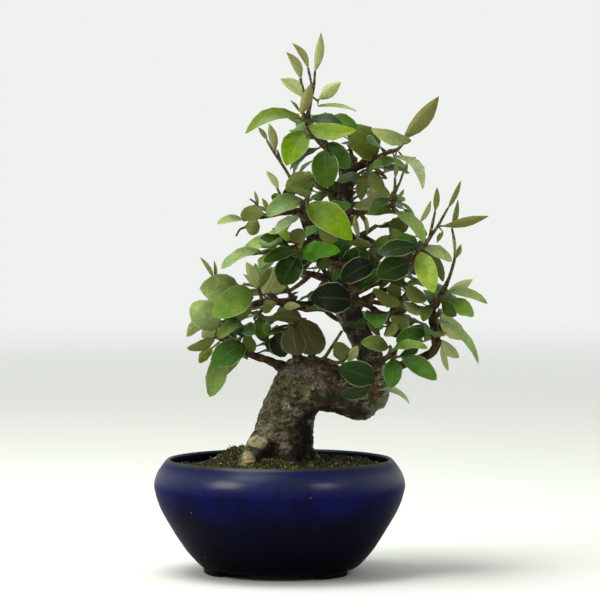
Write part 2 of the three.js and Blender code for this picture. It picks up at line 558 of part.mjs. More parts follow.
// Where the crown ends and where one sees through it: leaves set by rule keep inside its outline and out
// of its windows, each [pixel x, pixel y, radius].
const CROWN = [
  [296, 112], [330, 112], [352, 122], [374, 136], [388, 150], [412, 168], [404, 190], [414, 214],
  [430, 244], [448, 258], [452, 286], [472, 296], [466, 332], [438, 350], [418, 342], [392, 344],
  [330, 352], [262, 356], [232, 362], [208, 352], [194, 332], [198, 304], [206, 288], [226, 282],
  [246, 284], [256, 268], [250, 254], [256, 238], [262, 232], [244, 222], [258, 204], [286, 186], [290, 168], [284, 146],
];
const CORE = [24, 2];
const SHIFTS = [0, -1.5, 1.5, -3, 3, -4.5, 4.5, -6, 6, -8, 8, -10, 10];
const WINDOWS = [
  [330, 326, 21], [376, 301, 12], [368, 226, 11], [392, 182, 6],
  [316, 350, 8], [448, 268, 8], [260, 226, 8], [295, 282, 7], [279, 222, 6], [311, 287, 5],
  [270, 309, 5],
];

// A blade's half width at a share s of its length, as a share of its widest: blunt base, pointed tip.
function bladeWidth(s, kind) {
  const { belly, fullness } = HABIT[kind];
  const round = Math.pow(Math.sin(Math.PI * Math.pow(s, belly)), fullness);
  return round * (1 - TIP_TAPER * Math.pow(s, 6));
}

// Where a leaf's marks lie, and how many of them are near its own twig.
const MARKS_ALONG = [0.12, 0.26, 0.4, 0.54, 0.68, 0.82, 0.96];
const MARKS_ACROSS = [-0.9, -0.3, 0.3, 0.9];
const MARKS_NEAR_TWIG = 10;

// How each kind of leaf arches along its rib and folds up on both sides of it, and its outline: where its
// belly lies and how full its ends are.
const HABIT = {
  dark: { arch: 0.09, fold: 0.1, belly: 1.0, fullness: 0.5 },
  mid: { arch: 0.1, fold: 0.22, belly: 1.0, fullness: 0.52 },
  lime: { arch: 0.09, fold: 0.16, belly: 0.94, fullness: 0.62 },
  olive: { arch: 0.11, fold: 0.2, belly: 0.98, fullness: 0.56 },
  young: { arch: 0.05, fold: 0.5, belly: 0.9, fullness: 0.85 },
};

// A leaf from where it stands: root in the wood, base and tip of the blade, the way its upper side faces,
// and how far its rib bows sideways. marks are the points by which it keeps its distance.
function leafOf(root, base, tip, width, facing, kind, bow = vec(0, 0, 0)) {
  const along = tip.clone().sub(base);
  const length = along.length();
  along.normalize();
  const up = facing.clone().addScaledVector(along, -facing.dot(along)).normalize();
  const leaf = { root, base, tip, width, length, kind, bow, along, up, side: along.clone().cross(up) };
  leaf.marks = [root.clone().lerp(base, 0.6), base.clone()];
  for (const s of MARKS_ALONG)
    for (const q of MARKS_ACROSS) leaf.marks.push(bladePoint(leaf, s, q));
  leaf.middle = base.clone().lerp(tip, 0.4).add(bow);
  leaf.reach = 0.62 * length + 1;
  return leaf;
}

// A point of a blade: s runs from base to tip, q from -1 to 1 across it.
function bladePoint(leaf, s, q) {
  const { arch, fold } = HABIT[leaf.kind];
  const half = (leaf.width / 2) * bladeWidth(s, leaf.kind);
  const crest = 4 * s * (1 - s);
  return leaf.base
    .clone()
    .lerp(leaf.tip, s)
    .addScaledVector(leaf.bow, crest)
    .addScaledVector(leaf.up, arch * leaf.length * crest + Math.abs(q) * half * Math.sin(fold))
    .addScaledVector(leaf.side, q * half * Math.cos(fold));
}

// A leaf read off the photograph, `shift` millimetres further along the line of sight. Its upper side
// faces the camera, turned by roll about its length; bow lifts its rib in the picture's plane.
function leafSeen([bx, by, bd, tx, ty, td, width, roll, kind, bow = 0], shift, timber) {
  const base = place(bx, by, bd + shift);
  const tip = place(tx, ty, td + shift);
  const along = tip.clone().sub(base).normalize();
  const toCamera = vec(0, -1, 0.12);
  toCamera.addScaledVector(along, -toCamera.dot(along)).normalize();
  const lift = toCamera.clone().cross(along);
  if (lift.z < 0) lift.negate();
  const facing = toCamera.applyAxisAngle(along, THREE.MathUtils.degToRad(roll));
  const root = rootFor(timber, base, along);
  return leafOf(root, base, tip, width, facing, kind, lift.multiplyScalar(bow));
}

// Where a leaf is rooted: wood that is near its base and lies behind it.
function rootFor(timber, base, along) {
  const cost = ({ at }) => {
    const stalk = base.clone().sub(at);
    return stalk.length() * (BACK_PENALTY - stalk.normalize().dot(along));
  };
  return timber.reduce((a, b) => (cost(b) < cost(a) ? b : a)).at;
}

// A leaf set by rule somewhere along a twig: it opens outwards from the crown's core and faces up.
function leafByRule(timber, draw) {
  const foot = timber[Math.floor(draw() * timber.length)];
  const turn = 2 * Math.PI * draw();
  const lean = draw() - RULE.sink;
  const size = LEAF_LENGTH * (1 + LEAF_SPREAD * (2 * draw() - 1));
  const reach = 1 + 2 * draw();
  const tint = draw();
  const out = vec(foot.at.x - CORE[0], foot.at.y - CORE[1], 0).normalize();
  const way = vec(Math.cos(turn), Math.sin(turn), lean).addScaledVector(out, RULE.outward).normalize();
  const base = foot.at.clone().addScaledVector(way, foot.radius + reach);
  const tip = base.clone().addScaledVector(way, size);
  const facing = vec(RULE.sway * Math.cos(7 * turn), RULE.sway * Math.sin(7 * turn) - RULE.forward, 1);
  facing.addScaledVector(out, RULE.tilt);
  const kind = tint < RULE.mid ? "mid" : tint < RULE.dark ? "dark" : "olive";
  return leafOf(foot.at, base, tip, size * LEAF_SHAPE, facing, kind);
}

// The timber station nearest to a point.
function nearest(timber, point) {
  return timber.reduce((a, b) => (b.at.distanceToSquared(point) < a.at.distanceToSquared(point) ? b : a));
}

// Whether a leaf keeps clear of the leaves placed so far, of foreign wood, and of its own past its base.
function isClear(leaf, placed, timber, own) {
  const near = (marks, { at, radius }, margin) =>
    marks.some((p) => p.distanceToSquared(at) < (radius + margin) ** 2);
  for (const other of placed) {
    if (leaf.middle.distanceTo(other.middle) > leaf.reach + other.reach + LEAF_CLEARANCE) continue;
    for (const mark of other.marks)
      if (near(leaf.marks, { at: mark, radius: 0 }, LEAF_CLEARANCE)) return false;
  }
  const outer = leaf.marks.slice(MARKS_NEAR_TWIG);
  for (const station of timber) {
    if (leaf.middle.distanceTo(station.at) > leaf.reach + station.radius + WOOD_CLEARANCE) continue;
    if (near(station.owner === own ? outer : leaf.marks, station, WOOD_CLEARANCE)) return false;
  }
  return true;
}

// A tube's nodes in space, each with its radius and the name of the part that it belongs to.
function lineOf(tube, owner) {
  return tube.map(([px, py, depth, radius]) => ({ at: place(px, py, depth), radius, owner }));
}

// The same line with stepsPerSpan stations a span, smooth as a trunk is.
function smooth(line, stepsPerSpan) {
  const spine = new THREE.CatmullRomCurve3(line.map(({ at }) => at), false, "catmullrom");
  const girth = new THREE.CatmullRomCurve3(line.map(({ radius }) => vec(radius, 0, 0)), false, "catmullrom");
  const count = (line.length - 1) * stepsPerSpan;
  return Array.from({ length: count + 1 }, (_, i) => ({
    at: spine.getPoint(i / count),
    radius: girth.getPoint(i / count).x,
    owner: line[0].owner,
  }));
}

// The same line with stepsPerSpan stations a span, straight from node to node as a twig is.
function straight(line, stepsPerSpan) {
  return line.slice(1).flatMap((end, i) => {
    const start = line[i];
    return Array.from({ length: stepsPerSpan }, (_, k) => ({
      at: start.at.clone().lerp(end.at, (k + 1) / stepsPerSpan),
      radius: THREE.MathUtils.lerp(start.radius, end.radius, (k + 1) / stepsPerSpan),
      owner: start.owner,
    }));
  });
}

// The lines of a branch and its twigs, each twig starting on the wood of those before it.
function branchLines(wood, owner) {
  const lines = [];
  const timber = [];
  for (const tube of wood) {
    const line = lineOf(tube, owner);
    if (timber.length) line[0].at = nearest(timber, line[0].at).at.clone();
    lines.push(line);
    timber.push(...straight(line, STATIONS_PER_SPAN));
  }
  return { lines, timber };
}

// Whether a point shows inside the crown's outline and outside each of its windows.
function inCrown(point) {
  const [px, py] = pixelOf(point);
  if (WINDOWS.some(([x, y, r]) => Math.hypot(px - x, py - y) < r)) return false;
  let inside = false;
  CROWN.forEach(([ax, ay], i) => {
    const [bx, by] = CROWN[(i + 1) % CROWN.length];
    if (ay > py !== by > py && px < ax + ((bx - ax) * (py - ay)) / (by - ay)) inside = !inside;
  });
  return inside;
}

// The closed solid of a mesh whose triangles are listed as corner numbers.
function solidOf(points, triangles) {
  const made = new wasm.Manifold(
    new wasm.Mesh({
      numProp: 3,
      vertProperties: new Float32Array(points.flatMap((p) => [p.x, p.y, p.z])),
      triVerts: new Uint32Array(triangles.flat()),
    }),
  );
  if (made.volume() > 0) return made;
  return solidOf(points, triangles.map(([a, b, c]) => [a, c, b]));
}

// The closed solid of a three.js geometry.
function solidOfGeometry(geometry) {
  const bare = geometry.index ? geometry.toNonIndexed() : geometry;
  bare.deleteAttribute("normal");
  bare.deleteAttribute("uv");
  const merged = mergeVertices(bare, 1e-3);
  return new wasm.Manifold(
    new wasm.Mesh({
      numProp: 3,
      vertProperties: merged.attributes.position.array,
      triVerts: new Uint32Array(merged.index.array),
    }),
  );
}

// Rings of corners joined into one skin, with a point at each end.
function skinOf(rings, start, end) {
  const sides = rings[0].length;
  const points = [start, ...rings.flat(), end];
  const corner = (ring, k) => 1 + ring * sides + (k % sides);
  const triangles = [];
  for (let k = 0; k < sides; k += 1) {
    triangles.push([0, corner(0, k + 1), corner(0, k)]);
    for (let r = 0; r + 1 < rings.length; r += 1) {
      triangles.push([corner(r, k), corner(r, k + 1), corner(r + 1, k)]);
      triangles.push([corner(r, k + 1), corner(r + 1, k + 1), corner(r + 1, k)]);
    }
    triangles.push([points.length - 1, corner(rings.length - 1, k), corner(rings.length - 1, k + 1)]);
  }
  return solidOf(points, triangles);
}

// A tube of wood along a line: rings carried on without twist, `extra` wider, with blunt ends.
function woodSolid(line, sides, extra = 0) {
  const rings = [];
  const fullness = Math.sqrt((2 * Math.PI) / (sides * Math.sin((2 * Math.PI) / sides)));
  let across = vec(1, 0, 0);
  line.forEach(({ at, radius }, i) => {
    const before = line[Math.max(0, i - 1)].at;
    const after = line[Math.min(line.length - 1, i + 1)].at;
    const ahead = after.clone().sub(before).normalize();
    if (i === 0 && Math.abs(ahead.x) > 0.9) across = vec(0, 1, 0);
    across = across.clone().addScaledVector(ahead, -across.dot(ahead)).normalize();
    const other = ahead.clone().cross(across);
    const ring = [];
    for (let k = 0; k < sides; k += 1) {
      const turn = (2 * Math.PI * k) / sides;
      const reach = radius * fullness + extra;
      const rim = at.clone().addScaledVector(across, reach * Math.cos(turn));
      ring.push(rim.addScaledVector(other, reach * Math.sin(turn)));
    }
    rings.push(ring);
  });
  const cap = (end, next) =>
    end.at.clone().addScaledVector(end.at.clone().sub(next.at).normalize(), END_BULGE * (end.radius + extra));
  return skinOf(rings, cap(line[0], line[1]), cap(line.at(-1), line.at(-2)));
}

// A leaf with its stalk: a three-cornered section, of two edges and the keel under the rib, drawn from
// inside the twig to the blade's tip.
function leafSolid(leaf) {
  const section = (middle, way, half, lift, keel) => {
    const side = leaf.side.clone().addScaledVector(way, -leaf.side.dot(way)).normalize();
    const up = side.clone().cross(way);
    return [
      middle.clone().addScaledVector(side, -half).addScaledVector(up, lift),
      middle.clone().addScaledVector(side, half).addScaledVector(up, lift),
      middle.clone().addScaledVector(up, -keel),
    ];
  };
  const stalk = leaf.base.clone().sub(leaf.root);
  const rings = [];
  if (stalk.length() > LONG_STALK) {
    const way = stalk.clone().normalize().add(leaf.along).normalize();
    rings.push(section(leaf.base, way, STALK_RADIUS, STALK_RADIUS / 2, STALK_RADIUS));
  }
  const back = stalk.addScaledVector(leaf.along, 0.4).normalize().multiplyScalar(-ROOT_DEPTH);
  for (const s of leaf.length > LONG_LEAF ? [0.2, 0.52, 0.82] : [0.3, 0.72]) {
    const middle = bladePoint(leaf, s, 0);
    const edge = bladePoint(leaf, s, 1).sub(middle);
    const lift = Math.max(edge.dot(leaf.up), BLADE_THICK / 2);
    rings.push(section(middle, leaf.along, edge.dot(leaf.side), lift, BLADE_THICK / 2));
  }
  return skinOf(rings, leaf.root.clone().add(back), leaf.tip);
}

// The largest of a solid's loose bodies, without the scraps that a cut can leave.
function largest(solid) {
  return solid.decompose().sort((a, b) => b.volume() - a.volume())[0];
}

// The pot: its profile turned round the axis, with the drain hole in its floor and three feet below.
function potSolid() {
  const drain = [[DRAIN_RADIUS, FLOOR_TOP - FOOT_HEIGHT], [DRAIN_RADIUS, 0]];
  const profile = [...POT_OUTSIDE, ...POT_LIP, ...POT_INSIDE, ...drain, POT_OUTSIDE[0]];
  const turned = new THREE.LatheGeometry(profile.map(([r, z]) => new THREE.Vector2(r, z)), POT_SIDES);
  turned.rotateX(Math.PI / 2);
  turned.translate(0, 0, FOOT_HEIGHT);
  const feet = FOOT_ANGLES.map((angle) => {
    const from = THREE.MathUtils.degToRad(angle - FOOT_SPREAD / 2);
    const to = THREE.MathUtils.degToRad(angle + FOOT_SPREAD / 2);
    const sector = new THREE.Shape();
    sector.absarc(0, 0, FOOT_OUTER, from, to, false);
    sector.absarc(0, 0, FOOT_INNER, to, from, true);
    sector.closePath();
    const foot = new THREE.ExtrudeGeometry(sector, {
      depth: FOOT_HEIGHT + FOOT_SUNK,
      bevelEnabled: false,
      curveSegments: FOOT_STEPS,
    });
    return solidOfGeometry(foot);
  });
  const body = solidOfGeometry(turned);
  return wasm.Manifold.union([body, ...feet]);
}

// The soil's surface height: a mound round the trunk, level at the rim, with small crumbs.
function soilHeight(x, y) {
  const away = Math.hypot(x - MOUND_MIDDLE[0], y - MOUND_MIDDLE[1]);
  const mound = Math.exp(-(away ** 2) / (2 * MOUND_SPREAD ** 2));
  const crumbs = CRUMB_HEIGHT * Math.sin(0.9 * x + 1.3 * Math.sin(0.5 * y)) * Math.cos(0.8 * y + 0.6);
  return SOIL_EDGE + SOIL_MOUND * mound + crumbs;
}

// The soil: a fill of the bowl, a gap inside its wall, with the mounded surface on top.
function soilSolid() {
  const rings = SOIL_WALL.map(([r, z]) => ringAt(r, () => z));
  for (let k = 0; k < SOIL_RINGS; k += 1) rings.push(ringAt(SOIL_RADIUS * (1 - k / SOIL_RINGS), soilHeight));
  return skinOf(rings, vec(0, 0, FLOOR_TOP + GAP), vec(0, 0, soilHeight(0, 0)));
}

// A ring of points round the pot's axis, each at the height that the function gives.
function ringAt(radius, height) {
  return Array.from({ length: SOIL_SIDES }, (_, k) => {
    const turn = (2 * Math.PI * k) / SOIL_SIDES;
    const [x, y] = [radius * Math.cos(turn), radius * Math.sin(turn)];
    return vec(x, y, height(x, y));
  });
}

// The drain mesh: a thin square grid of crossing bars that keeps the soil from falling through the hole.
function meshSolid() {
  const pitch = (MESH_SIDE - MESH_BAR) / MESH_HOLES;
  const bars = [];
  for (let i = 0; i <= MESH_HOLES; i += 1) {
    const offset = -MESH_SIDE / 2 + MESH_BAR / 2 + i * pitch;
    for (const along of [0, 1]) {
      const bar = new THREE.BoxGeometry(
        along ? MESH_SIDE : MESH_BAR,
        along ? MESH_BAR : MESH_SIDE,
        MESH_THICK,
      );
      bar.translate(along ? 0 : offset, along ? offset : 0, FLOOR_TOP + MESH_LIFT + MESH_THICK / 2);
      bars.push(solidOfGeometry(bar));
    }
  }
  return wasm.Manifold.union(bars);
}

const MATERIALS = {
  glaze: new THREE.MeshStandardMaterial({ color: 0x1b2250, roughness: 0.25, metalness: 0 }),
  soil: new THREE.MeshStandardMaterial({ color: 0x3a3220, roughness: 0.95, metalness: 0 }),
  bark: new THREE.MeshStandardMaterial({ color: 0x4c4338, roughness: 0.9, metalness: 0 }),
  foliage: new THREE.MeshStandardMaterial({ color: 0x4f7338, roughness: 0.55, metalness: 0 }),
  mesh: new THREE.MeshStandardMaterial({ color: 0x1c1c1c, roughness: 0.7, metalness: 0 }),
};

const tree = new THREE.Group();

// Adds a solid to the tree as a named mesh.
function addNode(name, solid, material) {
  const { vertProperties, triVerts, numProp, numVert } = solid.getMesh();
  const positions = new Float32Array(numVert * 3);
  for (let i = 0; i < numVert; i += 1)
    positions.set(vertProperties.subarray(i * numProp, i * numProp + 3), i * 3);
  const geometry = new THREE.BufferGeometry();
  geometry.setAttribute("position", new THREE.BufferAttribute(positions, 3));
  geometry.setIndex(new THREE.BufferAttribute(triVerts, 1));
  geometry.computeVertexNormals();
  const mesh = new THREE.Mesh(geometry, material);
  mesh.name = name;
  tree.add(mesh);
}

// The trunk, and the same a gap wider, by which the soil and the branches are cut to seat on it.
function trunkSolid(extra) {
  const tubes = Object.entries(TRUNK).map(([name, tube]) => {
    const line = smooth(lineOf(tube, "trunk"), CURVED_TUBES.includes(name) ? 2 : 1);
    return woodSolid(line, line[0].radius > THICK_LIMB ? TRUNK_SIDES : ROOT_SIDES, extra);
  });
  return wasm.Manifold.union(tubes);
}
const trunk = trunkSolid(0);
const trunkSeat = trunkSolid(GAP);

// The leaves of all branches are placed before any branch is fused: first those read off the photograph,
// each moved along the line of sight until it is clear of the rest, then those set by rule.
const plans = Object.entries(BRANCHES).map(([name, branch]) => ({
  ...branch,
  ...branchLines(branch.wood, name),
  name,
  placed: [],
}));
const timber = [
  ...Object.values(TRUNK).flatMap((tube) => smooth(lineOf(tube, "trunk"), STATIONS_PER_SPAN)),
  ...plans.flatMap((plan) => plan.timber),
];
const placed = [];
for (const plan of plans)
  for (const row of plan.leaves) {
    const choices = SHIFTS.map((shift) => leafSeen(row, shift, plan.timber));
    const leaf = choices.find((choice) => isClear(choice, placed, timber, plan.name));
    if (!leaf) continue;
    placed.push(leaf);
    plan.placed.push(leaf);
  }
const draw = seeded(LEAF_SEED);
for (const plan of plans)
  for (let tries = plan.fill * TRIES_PER_LEAF, left = plan.fill; tries > 0 && left > 0; tries -= 1) {
    const leaf = leafByRule(plan.timber.slice(BARE_STATIONS), draw);
    if (!leaf.marks.every(inCrown) || !isClear(leaf, placed, timber, plan.name)) continue;
    placed.push(leaf);
    plan.placed.push(leaf);
    left -= 1;
  }

// Each branch is fused with its leaves and cut a gap clear of the trunk.
for (const plan of plans) {
  const wood = plan.lines.map((line, i) => woodSolid(line, i ? TWIG_SIDES : LIMB_SIDES));
  const whole = wasm.Manifold.union([...wood, ...plan.placed.map(leafSolid)]);
  plan.solid = largest(whole.subtract(trunkSeat));
}

addNode("pot", potSolid(), MATERIALS.glaze);
addNode("drain_mesh", meshSolid(), MATERIALS.mesh);
const pocketSide = MESH_SIDE + 2 * GAP;
const pocket = new THREE.BoxGeometry(pocketSide, pocketSide, 2 * (MESH_THICK + GAP + MESH_LIFT));
pocket.translate(0, 0, FLOOR_TOP);
addNode("soil", largest(soilSolid().subtract(trunkSeat).subtract(solidOfGeometry(pocket))), MATERIALS.soil);
addNode("trunk", trunk, MATERIALS.bark);
plans.forEach(({ name, solid }) => addNode(name, solid, MATERIALS.foliage));

// The frame's origin is the middle of the whole object's footprint, on the ground.
const reach = new THREE.Box3().setFromObject(tree);
tree.position.set(-(reach.min.x + reach.max.x) / 2, -(reach.min.y + reach.max.y) / 2, 0);

export default tree;
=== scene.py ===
"""A silverberry bonsai in a round, blue-glazed pot: leaves, bark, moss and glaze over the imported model.

Places are read off a photograph, as in the part's source: a pixel and a depth behind the pot's axis give
a point. Everything is worked out in millimetres round that axis and made in metres."""

import math

import bpy
import numpy as np
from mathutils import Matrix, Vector


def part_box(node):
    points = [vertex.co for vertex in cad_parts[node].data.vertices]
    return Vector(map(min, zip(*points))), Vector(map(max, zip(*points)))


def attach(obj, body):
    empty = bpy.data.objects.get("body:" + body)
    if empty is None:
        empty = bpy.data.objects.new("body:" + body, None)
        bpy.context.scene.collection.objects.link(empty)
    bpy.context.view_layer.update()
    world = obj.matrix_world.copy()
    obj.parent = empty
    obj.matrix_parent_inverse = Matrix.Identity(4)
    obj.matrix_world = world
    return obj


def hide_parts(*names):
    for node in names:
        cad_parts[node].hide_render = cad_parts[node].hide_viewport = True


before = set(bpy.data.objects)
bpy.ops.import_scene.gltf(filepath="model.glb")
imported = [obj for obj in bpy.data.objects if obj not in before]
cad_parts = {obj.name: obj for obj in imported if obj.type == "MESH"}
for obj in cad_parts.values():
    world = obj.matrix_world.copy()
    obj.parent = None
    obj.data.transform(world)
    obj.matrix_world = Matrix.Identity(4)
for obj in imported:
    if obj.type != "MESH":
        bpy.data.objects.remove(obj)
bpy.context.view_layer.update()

# The photograph's frame: how big a pixel is at the pot's axis, and where the camera stood.
MM_PER_PIXEL = 0.42
IMAGE_SIZE = 600
MIDDLE = IMAGE_SIZE / 2
POT_AXIS_PIXEL = 279.7
GROUND_PIXEL = 572
CAMERA_DISTANCE = 1400
PITCH = math.radians(2.58)
SIN, COS = math.sin(PITCH), math.cos(PITCH)
CAMERA = np.array([
    (MIDDLE - POT_AXIS_PIXEL) * MM_PER_PIXEL,
    -CAMERA_DISTANCE,
    ((GROUND_PIXEL - MIDDLE) * MM_PER_PIXEL + CAMERA_DISTANCE * SIN) / COS,
])
FOCAL = (CAMERA_DISTANCE * COS + CAMERA[2] * SIN) / MM_PER_PIXEL
SENSOR = 36

# The pot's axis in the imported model, in metres.
POT_LOW, POT_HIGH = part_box("pot")
AXIS = np.array([(POT_LOW[0] + POT_HIGH[0]) / 2, (POT_LOW[1] + POT_HIGH[1]) / 2, 0])

# Leaves and wood, as in the part's source.
LEAF_LENGTH = 14.5
LEAF_SPREAD = 0.25
LEAF_SHAPE = 0.6
LEAF_CLEARANCE = 2.0
WOOD_CLEARANCE = 1.3
TRIES_PER_LEAF = 60
LEAF_SEED = 20
ROOT_DEPTH = 0.4
BACK_PENALTY = 2.2
TIP_TAPER = 0.12
RULE = dict(sink=0.35, outward=0.7, sway=0.3, forward=0.25, tilt=0.4, mid=0.4, dark=0.7)
STATIONS_PER_SPAN = 4
BARE_STATIONS = 6
MARKS_ALONG = [0.12, 0.26, 0.4, 0.54, 0.68, 0.82, 0.96]
MARKS_ACROSS = [-0.9, -0.3, 0.3, 0.9]
MARKS_NEAR_TWIG = 10
CORE = [24, 2]
SHIFTS = [0, -1.5, 1.5, -3, 3, -4.5, 4.5, -6, 6, -8, 8, -10, 10]

# How each kind of leaf arches along its rib and folds up on both sides of it, and its outline: where its
# belly lies and how full its ends are.
HABIT = dict(
    dark=(0.09, 0.1, 1.0, 0.5), mid=(0.1, 0.22, 1.0, 0.52), lime=(0.09, 0.16, 0.94, 0.62),
    olive=(0.11, 0.2, 0.98, 0.56), young=(0.05, 0.5, 0.9, 0.85),
)

# The old wood, each tube as nodes of [pixel x, pixel y, depth, radius].
TRUNK = {
  "column": [
    [284, 505, 0, 9.0], [283, 478, 0, 13.0], [281, 455, 0, 14.0], [284, 432, 0, 12.5],
    [287, 417, 0, 11.8], [294, 399, 0, 11.2], [302, 384, 0, 9.9], [307, 377, 0, 6.6],
  ],
  "arm": [
    [296, 388, 0, 10.6], [306, 386, -1, 11.2], [320, 386, -1.5, 11.0], [336, 390, -1, 9.6],
    [352, 396, 0, 9.2], [366, 400, 1, 9.0], [376, 402, 1, 6.4],
  ],
  "riser": [
    [369, 403, 1, 6.8], [374, 388, 1, 7.2], [373, 370, 1, 6.4], [368, 352, 0, 5.5],
    [359, 333, -1, 5.1], [350, 315, -1, 5.4], [345, 299, -1, 5.8], [341, 282, 0, 5.2],
    [338, 266, 1, 4.6], [340, 245, 2, 4.1], [343, 222, 2, 3.7], [345, 200, 1, 3.4],
    [346, 182, 0, 3.2], [343, 166, 0, 2.7], [334, 153, 0, 2.2], [325, 145, 0, 1.8],
  ],
  "left_limb": [
    [340, 270, 0, 4.0], [327, 253, -3, 3.6], [315, 238, -5, 3.4], [308, 224, -6, 2.9],
    [304, 210, -6, 2.3], [306, 199, -6, 1.7],
  ],
  "pruned_stub": [[351, 291, -2, 2.2], [354, 289, -6, 1.8], [356, 287.5, -9, 1.7]],
  "root_front_left": [
    [273, 424, -4, 6.0], [264, 438, -9, 5.0], [255, 452, -14, 4.2], [247, 464, -20, 3.2],
    [243, 475, -26, 2.0],
  ],
  "root_left": [[270, 440, 2, 6.0], [255, 451, 4, 4.4], [238, 461, 6, 3.0], [228, 472, 8, 1.8]],
  "root_front": [[286, 440, -6, 5.6], [288, 454, -13, 4.2], [290, 468, -21, 2.6]],
  "root_right": [[296, 446, 0, 5.6], [308, 456, 0, 4.0], [322, 467, 0, 2.4]],
  "root_back": [[284, 438, 8, 5.6], [286, 450, 17, 4.2], [288, 462, 26, 2.4]],
}

